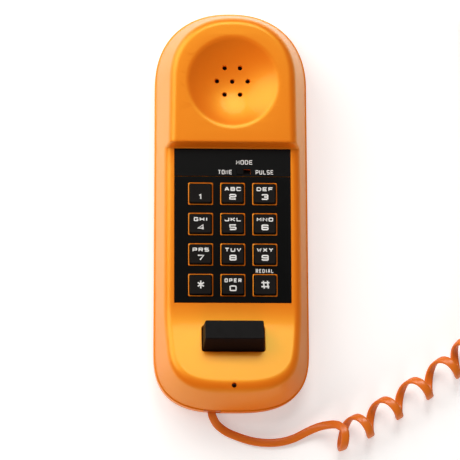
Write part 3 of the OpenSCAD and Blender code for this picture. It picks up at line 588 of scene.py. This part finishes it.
# Ear dish: a bowl cut by a shallow ball, with a rounded rim, on the tilted plateau
DISH_R = 24
DISH_DEPTH = 7.5
DISH_BALL = (DISH_R ** 2 + DISH_DEPTH ** 2) / (2 * DISH_DEPTH)
DISH_SHIFT = 1.5
DISH_STEPS = 26
RIM_ROUND = 2.6
RIM_SHARE = 0.55
RIM_STEPS = 8
RIM_SKIM = 0.02
CUTTER_LIP = 0.3
CUTTER_TOP = 6
BACK_BALL = DISH_BALL + WALL
BACK_REACH = 0.75
BACK_STEPS = 20
BACK_TOP = 4
ear_matrix = at(0, EAR_Y, face_height(EAR_Y)) @ Matrix.Rotation(EAR_TILT, 4, "X")
bowl_matrix = ear_matrix @ at(0, -DISH_SHIFT)
edge = math.asin((DISH_R - RIM_SHARE * RIM_ROUND) / DISH_BALL)
bowl = [(DISH_BALL * math.sin(edge * i / DISH_STEPS),
         DISH_BALL - DISH_DEPTH - DISH_BALL * math.cos(edge * i / DISH_STEPS)) for i in range(DISH_STEPS + 1)]
rim_x, rim_z = bowl[-1]
# The rim's arc runs on from the bowl and ends level with the plateau
rim_radius = -rim_z / (1 - math.cos(edge))
rim = [(rim_x + rim_radius * (math.sin(edge) - math.sin(edge * (1 - i / RIM_STEPS))),
        rim_z + rim_radius * (math.cos(edge * (1 - i / RIM_STEPS)) - math.cos(edge)))
       for i in range(1, RIM_STEPS + 1)]
lip = rim[-1][0] + CUTTER_LIP
dish_profile = bowl + rim + [(lip, RIM_SKIM), (lip, CUTTER_TOP), (0, CUTTER_TOP)]
dish_cutter = lathed("dish_cutter", dish_profile, bowl_matrix, steps=128)
back_ball = lathed("back_ball", [(0, -DISH_DEPTH - WALL)] + [
    (BACK_BALL * math.sin(BACK_REACH * i / BACK_STEPS),
     DISH_BALL - DISH_DEPTH - BACK_BALL * math.cos(BACK_REACH * i / BACK_STEPS))
    for i in range(1, BACK_STEPS + 1)] + [(0, BACK_TOP)], bowl_matrix)
carve(hollow, back_ball)
carve(front_moulding, hollow)
carve(front_moulding, dish_cutter)
SOUND_PITCH = 8.2
SOUND_R = 1.2
FLARE_R = SOUND_R + 0.35
for x, y in seven_spots(SOUND_PITCH):
    base = DISH_BALL - math.sqrt(DISH_BALL ** 2 - x ** 2 - (y + DISH_SHIFT) ** 2)
    carve(front_moulding, peg("sound_hole", [
        (SOUND_R, base - 6), (SOUND_R, base - 0.15), (FLARE_R, base + 0.25), (FLARE_R, base + 2)],
        ear_matrix @ at(x, y, -DISH_DEPTH), sides=24))

# Recess of the panel, raised key frames, key holes and the slot of the mode knob
PANEL_W = 62
PANEL_MID = (PANEL_TOP + PANEL_BOTTOM) / 2
LABEL_SPACE = 15
FIRST_ROW_GAP = 3.35
RECESS_Z = FACE_Z - 0.7
FRAME_TOP = FACE_Z + 0.2
FRAME_H = 12.2
FRAME_SLOPE = 0.75
RIM_W = 13.1
RIM_H = 11.9
HOLE_W = 12.3
HOLE_H = 11.1
KEY_PITCH = (17, 16.3)
FIRST_ROW_Y = PANEL_TOP - LABEL_SPACE - FIRST_ROW_GAP - FRAME_H / 2
MODE_X = 5.8
MODE_Y = PANEL_TOP - LABEL_SPACE + 2.5
MODE_SLOT = (7.5, 2.9, 0.3)  # width, height and corner
KEYS = ["1", "2", "3", "4", "5", "6", "7", "8", "9", "star", "0", "hash"]
key_places = [((i % 3 - 1) * KEY_PITCH[0], FIRST_ROW_Y - (i // 3) * KEY_PITCH[1]) for i in range(12)]
carve(front_moulding, stacked("recess", [
    (PANEL_W, PANEL_H, 0.2, RECESS_Z), (PANEL_W, PANEL_H, 0.2, FACE_Z - 0.15),
    (PANEL_W + 0.3, PANEL_H + 0.3, 0.35, FACE_Z + 0.01), (PANEL_W + 0.3, PANEL_H + 0.3, 0.35, FACE_Z + 5)],
    (0, PANEL_MID)))
for place in key_places:
    carve(front_moulding, stacked("frame_bar", [
        (RIM_W, RIM_H, 0.6, RECESS_Z - 0.3), (RIM_W, RIM_H, 0.6, FRAME_TOP - 0.4),
        (RIM_W - FRAME_SLOPE, RIM_H - FRAME_SLOPE, 0.45, FRAME_TOP - 0.02),
        (RIM_W - FRAME_SLOPE - 0.1, RIM_H - FRAME_SLOPE - 0.1, 0.4, FRAME_TOP)], place), "UNION")
    carve(front_moulding, stacked("key_hole", [
        (HOLE_W, HOLE_H, 0.9, FACE_Z - 6), (HOLE_W, HOLE_H, 0.9, FRAME_TOP + 3)], place))
carve(front_moulding, stacked("mode_slot", [(*MODE_SLOT, z) for z in (FACE_Z - 6, FACE_Z + 2)],
                              (MODE_X, MODE_Y)))

# Plunger slot and microphone hole in the chin
HOOK_W = 32.2
HOOK_T = 13.6
HOOK_Y = PANEL_BOTTOM - 19.2
SLOT_GAP = 0.8
SLOT_FLARE = 0.6
SLOT_W = HOOK_W + SLOT_GAP
SLOT_T = HOOK_T + SLOT_GAP
hook_matrix = at(0, HOOK_Y, face_height(HOOK_Y)) @ Matrix.Rotation(-CHIN_ANGLE, 4, "X")
slot_cutter = stacked("hook_slot", [
    (SLOT_W, SLOT_T, 1.3, -8), (SLOT_W, SLOT_T, 1.3, -0.3),
    (SLOT_W + SLOT_FLARE, SLOT_T + SLOT_FLARE, 1.6, 0.01),
    (SLOT_W + SLOT_FLARE, SLOT_T + SLOT_FLARE, 1.6, 4)])
slot_cutter.data.transform(hook_matrix)
carve(front_moulding, slot_cutter)
MIC_Y = 12 - BODY_LENGTH / 2
MIC_R = 1.3
mic_matrix = at(0, MIC_Y, face_height(MIC_Y)) @ Matrix.Rotation(-CHIN_ANGLE, 4, "X")
carve(front_moulding, peg("mic_hole", [
    (MIC_R, -7), (MIC_R, -0.2), (MIC_R + 0.3, 0.1), (MIC_R + 0.3, 3)], mic_matrix))
smoothed(front_moulding, angle=28)

orange_abs = moulded("orange_abs", srgb(250, 114, 14), srgb(252, 128, 28), roughness=0.42, rubbed=0.12,
                     grain_scale=1400, grain_depth=0.05, coat=0.15, specular=1.0,
                     gloss=(1, 0.95, 0.1, 1), ior=1.8)
dress(front_moulding, orange_abs)
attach(front_moulding, "housing")
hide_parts("front_shell")

# ---------------------------------------------------------------------------
# Back moulding: the orange tray that closes the housing and lies on the table.
# Its edge is rounded, its rim stands a little proud of the front, and four screw wells,
# the sound holes over the ringer and the notch for the cord are cut in it.
FOOT_ROUND = 4
FOOT_STEPS = 8
TRAY_ROUND = 1.6
TRAY_STEPS = 3
RIM_BREAK = 0.09
BOSS_R = 4.8
WELL_R = 3.2
WELL_DEPTH = 8
SCREW_HOLE_R = 1.65
WELL_FLARE = 0.3
EAR_BOSS = 25.7 * math.cos(math.pi / 4)
MOUTH_BOSS = (MOUTH_R - 14.3, 22 - BODY_LENGTH / 2)
NOTCH = (9, 12.8, 0.4)  # width, height and corner
RINGER_PITCH = 5
RINGER_Y = 2
RINGER_HOLE_R = 1.1


def foot_ring(stations, radius, share, z=0, inset=0):
    """Ring on the rounding at the foot of a wall, from its floor to its side."""
    turn = math.pi / 2 * share
    return level_ring(stations, z + radius * (1 - math.cos(turn)), inset + radius * (1 - math.sin(turn)))


tray_rings = [foot_ring(fine_stations, FOOT_ROUND, i / FOOT_STEPS) for i in range(FOOT_STEPS + 1)]
tray_rings += [level_ring(fine_stations, SEAM_Z - SEAM_CHAMFER, 0),
               level_ring(fine_stations, SEAM_Z - RIM_BREAK, RIM_BREAK),
               level_ring(fine_stations, SEAM_Z, SEAM_CHAMFER)]
back_moulding = lofted("back_moulding", tray_rings)
carve(back_moulding, lofted("tray_hollow", [
    foot_ring(coarse_stations, TRAY_ROUND, i / TRAY_STEPS, WALL, WALL) for i in range(TRAY_STEPS + 1)]
    + [level_ring(coarse_stations, SEAM_Z + OVERCUT, WALL)]))
for side in (-1, 1):
    for x, y in ((EAR_BOSS, EAR_Y + EAR_BOSS), MOUTH_BOSS):
        screw_place = at(side * x, y)
        carve(back_moulding, peg("boss", [(BOSS_R, 1), (BOSS_R, SEAM_Z)], screw_place), "UNION")
        carve(back_moulding, peg("well", [
            (WELL_R + WELL_FLARE, -OVERCUT), (WELL_R + WELL_FLARE, 0.1), (WELL_R, 0.4), (WELL_R, WELL_DEPTH),
            (SCREW_HOLE_R, WELL_DEPTH), (SCREW_HOLE_R, SEAM_Z + OVERCUT)], screw_place))
for x, y in seven_spots(RINGER_PITCH):
    carve(back_moulding, peg("ringer_hole", [
        (RINGER_HOLE_R + WELL_FLARE, -OVERCUT), (RINGER_HOLE_R + WELL_FLARE, 0.05), (RINGER_HOLE_R, 0.35),
        (RINGER_HOLE_R, WALL + TRAY_ROUND)], at(x, y + RINGER_Y), sides=24))
carve(back_moulding, stacked("notch", [(*NOTCH, z) for z in (WALL + 0.5, SEAM_Z + OVERCUT)],
                             (CORD_EXIT.x, -BODY_LENGTH / 2)))
smoothed(back_moulding, angle=28)
dress(back_moulding, orange_abs)
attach(back_moulding, "housing")
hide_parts("back_shell")

# ---------------------------------------------------------------------------
# Panel: black printed overlay round the keys and the label plate above it, thin sheet with
# a satin face, laid in the recess of the front moulding.
black_film = moulded("black_film", srgb(4, 4, 4), srgb(9, 9, 9), roughness=0.4, rubbed=0.3,
                     grain_scale=2600, grain_depth=0.06, specular=0.1)
label_film = moulded("label_film", srgb(7, 7, 7), srgb(14, 14, 13), roughness=0.42, rubbed=0.3,
                     grain_scale=2600, grain_depth=0.05, specular=0.12)
FILM_TOP = RECESS_Z + 0.6
FILM_W = PANEL_W - 0.3
OVERLAY_H = 67.5
LABEL_H = 14.7


def film_sheet(name, height, middle):
    """Thin sheet with softened edges, on the floor of the recess."""
    return stacked(name, [
        (FILM_W - 0.1, height - 0.1, 0.3, RECESS_Z), (FILM_W, height, 0.3, RECESS_Z + 0.06),
        (FILM_W, height, 0.3, FILM_TOP - 0.08), (FILM_W - 0.2, height - 0.2, 0.25, FILM_TOP)], (0, middle))


overlay = film_sheet("overlay", OVERLAY_H, (PANEL_TOP - LABEL_SPACE + PANEL_BOTTOM) / 2)
for place in key_places:
    carve(overlay, stacked("opening", [
        (RIM_W + 0.16, RIM_H + 0.16, 0.65, RECESS_Z - OVERCUT),
        (RIM_W + 0.16, RIM_H + 0.16, 0.65, FILM_TOP - 0.06),
        (RIM_W + 0.3, RIM_H + 0.3, 0.7, FILM_TOP + 0.01),
        (RIM_W + 0.3, RIM_H + 0.3, 0.7, FILM_TOP + OVERCUT)], place))
label = film_sheet("label", LABEL_H, PANEL_TOP - LABEL_SPACE / 2)
carve(label, stacked("label_slot", [(*MODE_SLOT, z) for z in (RECESS_Z - OVERCUT, FILM_TOP + OVERCUT)],
                     (MODE_X, MODE_Y)))
for sheet, node, film, slot in ((overlay, "keypad_overlay", black_film, "black_panel"),
                                (label, "label_plate", label_film, "black_label")):
    smoothed(sheet, angle=30)
    dress(sheet, film)
    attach(sheet, "housing")
    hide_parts(node)

# ---------------------------------------------------------------------------
# Keys: matte black caps with a soft edge and a slightly hollow face, each on a flange.
# The print stands on the face as a thin layer of white ink.
key_black = moulded("key_black", srgb(23, 20, 19), srgb(31, 28, 26), roughness=0.6, rubbed=0.35,
                    grain_scale=3200, grain_depth=0.25, specular=0.1)
ink_white = moulded("ink_white", srgb(252, 251, 249), srgb(228, 226, 222), roughness=0.6, rubbed=0.3,
                    grain_scale=2500, grain_depth=0.05)
KEY_W = 11.3
KEY_H = 10.1
KEY_TOP = FRAME_TOP + 1.5
FLANGE_LOW = 26.1
FLANGE_HIGH = 27.3
KEY_CORNER = 0.8
INK = 0.06
INK_Z = KEY_TOP - 0.03
# The cap's soft edge and hollow face: how much narrower, the corner, and how far below the top
KEY_CROWN = [(0, 0.8, 0.4), (0.12, 0.8, 0.18), (0.4, 0.75, 0.04), (0.8, 0.7, 0), (1.4, 0.6, 0.03)]
KEY_LETTERS = ["", "ABC", "DEF", "GHI", "JKL", "MNO", "PRS", "TUV", "WXY", "", "OPER", ""]
KEY_SIGNS = ["1", "2", "3", "4", "5", "6", "7", "8", "9", "*", "0", "#"]
# Height of a line, its place above the key's middle, width of a letter to its height, and pen
LETTERS = (2.2, 2.3, 1.15, 0.6)
LONG_LETTERS = (2.2, 2.3, 0.83, 0.6)
DIGIT = (3.2, -1.9, 1.22, 0.8)
STAR_OR_HASH = (4.9, 0.1, 1.02, 0.75)
# Strokes of each letter on a square field: pairs of digits are the points of one stroke
FIELD = 8
GLYPHS = {
    "A": "00 38 58 80,13 73", "B": "00 08 68 87 85 74 04,74 83 81 70 00",
    "C": "86 87 78 18 07 01 10 70 81 82", "D": "00 08 68 86 82 60 00", "E": "88 08 00 80,04 74",
    "F": "88 08 00,04 74", "G": "87 78 18 07 01 10 70 81 84 54", "H": "08 00,88 80,04 84", "I": "48 40",
    "J": "88 81 70 10 01 03", "K": "08 00,88 34 80,04 34", "L": "08 00 80", "M": "00 08 43 88 80",
    "N": "00 08 80 88", "O": "18 07 01 10 70 81 87 78 18", "P": "00 08 78 87 84 73 03",
    "R": "00 08 78 87 85 74 04,44 80", "S": "87 78 18 07 05 14 74 83 81 70 10 01", "T": "08 88,48 40",
    "U": "08 01 10 70 81 88", "V": "08 40 88", "W": "08 20 45 60 88", "X": "08 80,00 88",
    "Y": "08 44 88,44 40", "1": "26 48 40", "2": "06 07 18 78 87 85 74 14 03 00 80",
    "3": "07 18 78 87 85 74 34,74 83 81 70 10 01", "4": "70 78 02 82",
    "5": "88 08 04 74 83 81 70 10 01", "6": "86 87 78 18 07 01 10 70 81 83 74 04", "7": "08 88 30",
    "8": "18 07 05 14 74 85 87 78 18,14 03 01 10 70 81 83 74",
    "9": "02 01 10 70 81 87 78 18 07 05 14 84", "0": "18 07 01 10 70 81 87 78 18",
    "*": "48 40,16 72,12 76", "#": "30 28,70 68,02 82,06 86"}
NARROW = {"I": 0.3, "1": 0.65}


def printed(name, text, height, centre, z, wide, pen):
    """One line of lettering as thin flat strokes. Wide is the width of a letter to its height."""
    curve = bpy.data.curves.new(name, "CURVE")
    curve.dimensions = "3D"
    curve.bevel_depth = pen / 2
    curve.bevel_resolution = 1
    curve.use_fill_caps = True
    tall = height - pen
    left = 0
    for sign in text:
        share = NARROW.get(sign, 1)
        width = (height * wide - pen) * share
        for stroke in GLYPHS[sign].split(","):
            points = [(left + (int(p[0]) - FIELD / 2 * (1 - share)) / FIELD / share * width,
                       int(p[1]) / FIELD * tall) for p in stroke.split()]
            spline = curve.splines.new("POLY")
            spline.points.add(len(points) - 1)
            for point, (x, y) in zip(spline.points, points):
                point.co = (x, y, 0, 1)
        left += width + pen * 2
    piece = bpy.data.objects.new(name, curve)
    bpy.context.scene.collection.objects.link(piece)
    only(piece)
    bpy.ops.object.convert(target="MESH")
    piece = bpy.context.object
    middle = Vector(((left - pen * 2) / 2, tall / 2, 0))
    piece.data.transform(at(centre[0], centre[1], z) @ Matrix.Diagonal((MM, MM, MM * INK / pen, 1))
                         @ Matrix.Translation(-middle))
    dress(piece, ink_white)
    return piece


for key, (x, y), letters, sign in zip(KEYS, key_places, KEY_LETTERS, KEY_SIGNS):
    cap = stacked("cap_" + key, [
        (RIM_W, RIM_H, 1, FLANGE_LOW), (RIM_W, RIM_H, 1, FLANGE_HIGH),
        (KEY_W, KEY_H, KEY_CORNER, FLANGE_HIGH)]
        + [(KEY_W - less, KEY_H - less, corner, KEY_TOP - below) for less, corner, below in KEY_CROWN],
        (x, y))
    smoothed(cap, angle=40)
    dress(cap, key_black)
    body = "key_" + key
    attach(cap, body)
    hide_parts("key_" + key)
    lines = [(letters, LETTERS if len(letters) < 4 else LONG_LETTERS)] if letters else []
    lines.append((sign, STAR_OR_HASH if sign in "*#" else DIGIT))
    for number, (text, (height, up, wide, pen)) in enumerate(lines):
        legend = printed(f"legend_{key}_{number}", text, height, (x, y + up), INK_Z, wide, pen)
        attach(legend, body)

# Words printed on the two sheets: text, place, height, and width of a letter to its height
WORD_PEN = 0.42
WORDS = [("MODE", 6.3, 23.1, 2.4, 0.78), ("TONE", -4, 17.8, 2.4, 0.65), ("PULSE", 17, 17.8, 2.4, 0.65),
         ("REDIAL", 16.8, -35.2, 2.2, 0.6)]
for text, x, y, height, wide in WORDS:
    word = printed("word_" + text.lower(), text, height, (x, y), FILM_TOP, wide, WORD_PEN)
    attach(word, "housing")

# ---------------------------------------------------------------------------
# Hook plunger: one black ABS moulding with tapered sides, which stands in its slot in the chin
# and is pressed down when the telephone lies on its face. A rim below holds it in, and its two
# pockets take the springs.
satin_black = moulded("satin_black", srgb(14, 12, 12), srgb(24, 22, 21), roughness=0.5, rubbed=0.3,
                      grain_scale=1500, grain_depth=0.08, specular=0.08)
HOOK_STAND = 13
HOOK_TOP_W = 30
HOOK_TOP_T = 9.7
HOOK_CORNER = 0.9
STOP_RIM = 4
STOP_W = HOOK_W + STOP_RIM
STOP_T = HOOK_T + STOP_RIM
STOP_LOW = -4.2
STOP_HIGH = -2.7
SPRING_X = 10.7
SPRING_HIGH = 4
POCKET_R = 3.6
plunger = stacked("plunger", [
    (STOP_W, STOP_T, HOOK_CORNER, STOP_LOW), (STOP_W, STOP_T, HOOK_CORNER, STOP_HIGH),
    (HOOK_W, HOOK_T, HOOK_CORNER, STOP_HIGH), (HOOK_W, HOOK_T, HOOK_CORNER, 0),
    (HOOK_TOP_W + 0.58, HOOK_TOP_T + 0.6, HOOK_CORNER, HOOK_STAND - 0.6),
    (HOOK_TOP_W + 0.4, HOOK_TOP_T + 0.4, 0.85, HOOK_STAND - 0.2), (HOOK_TOP_W, HOOK_TOP_T, 0.7, HOOK_STAND)])
plunger.data.transform(hook_matrix)
for side in (-1, 1):
    carve(plunger, peg("spring_pocket", [(POCKET_R, -6), (POCKET_R, SPRING_HIGH + 0.1)],
                       hook_matrix @ at(side * SPRING_X, 0)))
smoothed(plunger, angle=40)
dress(plunger, satin_black)
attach(plunger, "hook_plunger")
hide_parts("hook_plunger")

# ---------------------------------------------------------------------------
# Key mat: grey silicone rubber sheet on the board, with a hollow dome below each key.
silicone = moulded("silicone", srgb(150, 152, 150), srgb(170, 170, 168), roughness=0.6)
DOME_R = 4.2
DOME_BORE = 2.8
DOME_H = 2.3
DOME_ROOF = 0.3 * DOME_H
MAT_CORNER = 0.8
MAT_BREAK = 0.1
mat_low, mat_high = [Vector(corner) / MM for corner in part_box("key_mat")]
MAT_TOP = mat_high.z - DOME_H
mat_w, mat_h = mat_high.x - mat_low.x, mat_high.y - mat_low.y
mat_sheet = stacked("mat_sheet", [
    (mat_w, mat_h, MAT_CORNER, mat_low.z), (mat_w, mat_h, MAT_CORNER, MAT_TOP - MAT_BREAK),
    (mat_w - 2 * MAT_BREAK, mat_h - 2 * MAT_BREAK, MAT_CORNER - MAT_BREAK, MAT_TOP)],
    ((mat_low.x + mat_high.x) / 2, (mat_low.y + mat_high.y) / 2))
mat_pieces = [mat_sheet]
for key, (x, y) in zip(KEYS, key_places):
    carve(mat_sheet, peg("mat_hole", [
        (DOME_BORE, mat_low.z - OVERCUT), (DOME_BORE, MAT_TOP + OVERCUT)], at(x, y)))
    mat_pieces.append(peg("dome_" + key, [
        (DOME_BORE - 0.3, MAT_TOP + DOME_ROOF), (DOME_BORE, MAT_TOP), (DOME_R, MAT_TOP),
        (DOME_R - 0.6, MAT_TOP + 0.6 * DOME_H), (DOME_R - 1.6, MAT_TOP + 0.75 * DOME_H),
        (DOME_R - 1.9, MAT_TOP + DOME_H - 0.1), (DOME_R - 2, MAT_TOP + DOME_H)], at(x, y)))
for piece in mat_pieces:
    smoothed(piece)
    dress(piece, silicone)
    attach(piece, "housing")
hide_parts("key_mat")
for key, dome in zip(KEYS, mat_pieces[1:]):
    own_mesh(dome)

# ---------------------------------------------------------------------------
# Plunger springs: two wound springs of steel wire that stand between the shell's towers and the
# plunger's pockets.
zinc_steel = moulded("zinc_steel", srgb(176, 177, 180), srgb(200, 200, 202), roughness=0.32, metallic=1.0)
SPRING_LOW = -20
SPRING_TURNS = 9
SPRING_R = 2.7
WIRE_R = 0.3
WIRE_SIDES = 8
TURN_STEPS = 20
spring_steps = SPRING_TURNS * TURN_STEPS
wire = [(WIRE_R * math.cos(2 * math.pi * i / WIRE_SIDES), WIRE_R * math.sin(2 * math.pi * i / WIRE_SIDES))
        for i in range(WIRE_SIDES)]
spring_rings = []
for k in range(spring_steps + 1):
    turn = Matrix.Rotation(2 * math.pi * k / TURN_STEPS, 3, "Z")
    height = SPRING_LOW + WIRE_R + (SPRING_HIGH - SPRING_LOW - 2 * WIRE_R) * k / spring_steps
    spring_rings.append([turn @ Vector((SPRING_R + out, 0, height + up)) * MM for out, up in wire])
left_spring = lofted("hook_spring_left", spring_rings)
smoothed(left_spring, angle=60)
right_spring = left_spring.copy()
right_spring.data = left_spring.data.copy()
right_spring.name = "hook_spring_right"
bpy.context.collection.objects.link(right_spring)
for spring, side in ((left_spring, -1), (right_spring, 1)):
    spring.data.transform(hook_matrix @ at(side * SPRING_X, 0))
    dress(spring, zinc_steel)
    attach(spring, "housing")
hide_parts("hook_springs")
for spring in (left_spring, right_spring):
    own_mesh(spring)

# ---------------------------------------------------------------------------
# Inner pieces, screws and cord end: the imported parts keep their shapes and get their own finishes.
# The board is green laminate, the screws are zinc-plated steel and the plug is clear plastic.
cream_plastic = moulded("cream_plastic", srgb(222, 212, 182), srgb(232, 224, 200), roughness=0.5)
foam_rubber = moulded("foam_rubber", srgb(38, 38, 38), srgb(52, 52, 52), roughness=0.85)
components = moulded("components", srgb(40, 40, 42), srgb(60, 60, 60), roughness=0.5)
finishes = {
    "circuit_board": moulded("solder_mask", srgb(34, 92, 44), srgb(50, 110, 60), roughness=0.35),
    "board_parts": components,
    "receiver_capsule": components,
    "mode_knob": satin_black,
    "ringer": satin_black,
    "strain_relief": cord_pvc,
    "hook_switch": cream_plastic,
    "receiver_retainer": cream_plastic,
    "mic_boot": foam_rubber,
    "receiver_gasket": foam_rubber,
    "line_plug": moulded("clear_plug", srgb(238, 240, 236), srgb(246, 246, 242), roughness=0.12, rubbed=0.1,
                         clear=0.75),
    "plug_contacts": moulded("gold_plate", srgb(226, 178, 82), srgb(236, 196, 110), roughness=0.25,
                             metallic=1.0),
    "mic_capsule": moulded("capsule_can", srgb(182, 182, 184), srgb(200, 200, 200), roughness=0.35,
                           metallic=1.0),
    "board_screws": zinc_steel,
    "receiver_screws": zinc_steel,
    "case_screws": zinc_steel,
    "mode_switch": zinc_steel,
}
for node, finish in finishes.items():
    dress(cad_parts[node], finish)

# ---------------------------------------------------------------------------
# Floor and light: a plain pale table, three soft lamps round the telephone and a pale world.
# The table glows a little towards the camera, and is mirrored pale on one side of the telephone.
FLOOR_COLOUR = (0.9, 0.885, 0.88, 1)
FLOOR_SIZE = 6
FLOOR_Z = -0.0001
SEEN_GLOW = 0.35
MIRRORED_SIDE = (-1, 0.8, 0)
MIRRORED_FADE = (-0.1, 0.06)
WORLD_COLOUR = (1.0, 0.97, 0.94, 1)
WORLD_STRENGTH = 0.14
LAMP_COLOUR = (1.0, 0.98, 0.95)
bpy.ops.mesh.primitive_plane_add(size=FLOOR_SIZE, location=(0, 0, FLOOR_Z))
floor = bpy.context.object
floor.name = "floor"
floor_paper = bpy.data.materials.new("floor_paper")
floor_paper.use_nodes = True
nodes, link = floor_paper.node_tree.nodes, floor_paper.node_tree.links.new
nodes.clear()
output = nodes.new("ShaderNodeOutputMaterial")
lit = preset(nodes.new("ShaderNodeBsdfDiffuse"), {"Color": FLOOR_COLOUR})
glow = nodes.new("ShaderNodeEmission")
path = nodes.new("ShaderNodeLightPath")
seen = nodes.new("ShaderNodeMath")
seen.operation = "MULTIPLY"
seen.inputs[1].default_value = SEEN_GLOW
mirrored_glow = nodes.new("ShaderNodeMath")
mirrored_glow.operation = "MULTIPLY_ADD"
link(path.outputs["Is Camera Ray"], seen.inputs[0])
link(path.outputs["Is Glossy Ray"], mirrored_glow.inputs[0])
place = nodes.new("ShaderNodeTexCoord")
across = nodes.new("ShaderNodeVectorMath")
across.operation = "DOT_PRODUCT"
across.inputs[1].default_value = MIRRORED_SIDE
fade = preset(nodes.new("ShaderNodeMapRange"), {"From Min": MIRRORED_FADE[0], "From Max": MIRRORED_FADE[1]})
link(place.outputs["Object"], across.inputs[0])
link(across.outputs["Value"], fade.inputs["Value"])
link(fade.outputs["Result"], mirrored_glow.inputs[1])
link(seen.outputs["Value"], mirrored_glow.inputs[2])
link(mirrored_glow.outputs["Value"], glow.inputs["Strength"])
both = nodes.new("ShaderNodeAddShader")
link(lit.outputs["BSDF"], both.inputs[0])
link(glow.outputs["Emission"], both.inputs[1])
link(both.outputs["Shader"], output.inputs["Surface"])
dress(floor, floor_paper)

world = bpy.data.worlds.new("pale_world")
bpy.context.scene.world = world
world.use_nodes = True
preset(world.node_tree.nodes["Background"], {"Color": WORLD_COLOUR, "Strength": WORLD_STRENGTH})


def soft_lamp(name, place, aim, size, watts, mirrored_too=True):
    """Round soft lamp that looks at a point. One that isn't mirrored leaves no bright spot."""
    lamp = bpy.data.objects.new(name, bpy.data.lights.new(name, "AREA"))
    bpy.context.scene.collection.objects.link(lamp)
    lamp.data.shape = "DISK"
    lamp.data.size = size
    lamp.data.energy = watts
    lamp.data.color = LAMP_COLOUR
    lamp.location = place
    lamp.visible_glossy = mirrored_too
    lamp.rotation_euler = (Vector(place) - Vector(aim)).to_track_quat("Z", "Y").to_euler()


soft_lamp("left_lamp", (-0.82, 0.58, 0.74), (0, 0, 0.02), size=1.2, watts=11.3)
soft_lamp("top_lamp", (0.06, 0.85, 1.05), (0, -0.02, 0.02), size=0.75, watts=7.8)
soft_lamp("low_lamp", (0.05, -1.1, 0.35), (0, 0, 0.02), size=0.8, watts=5, mirrored_too=False)
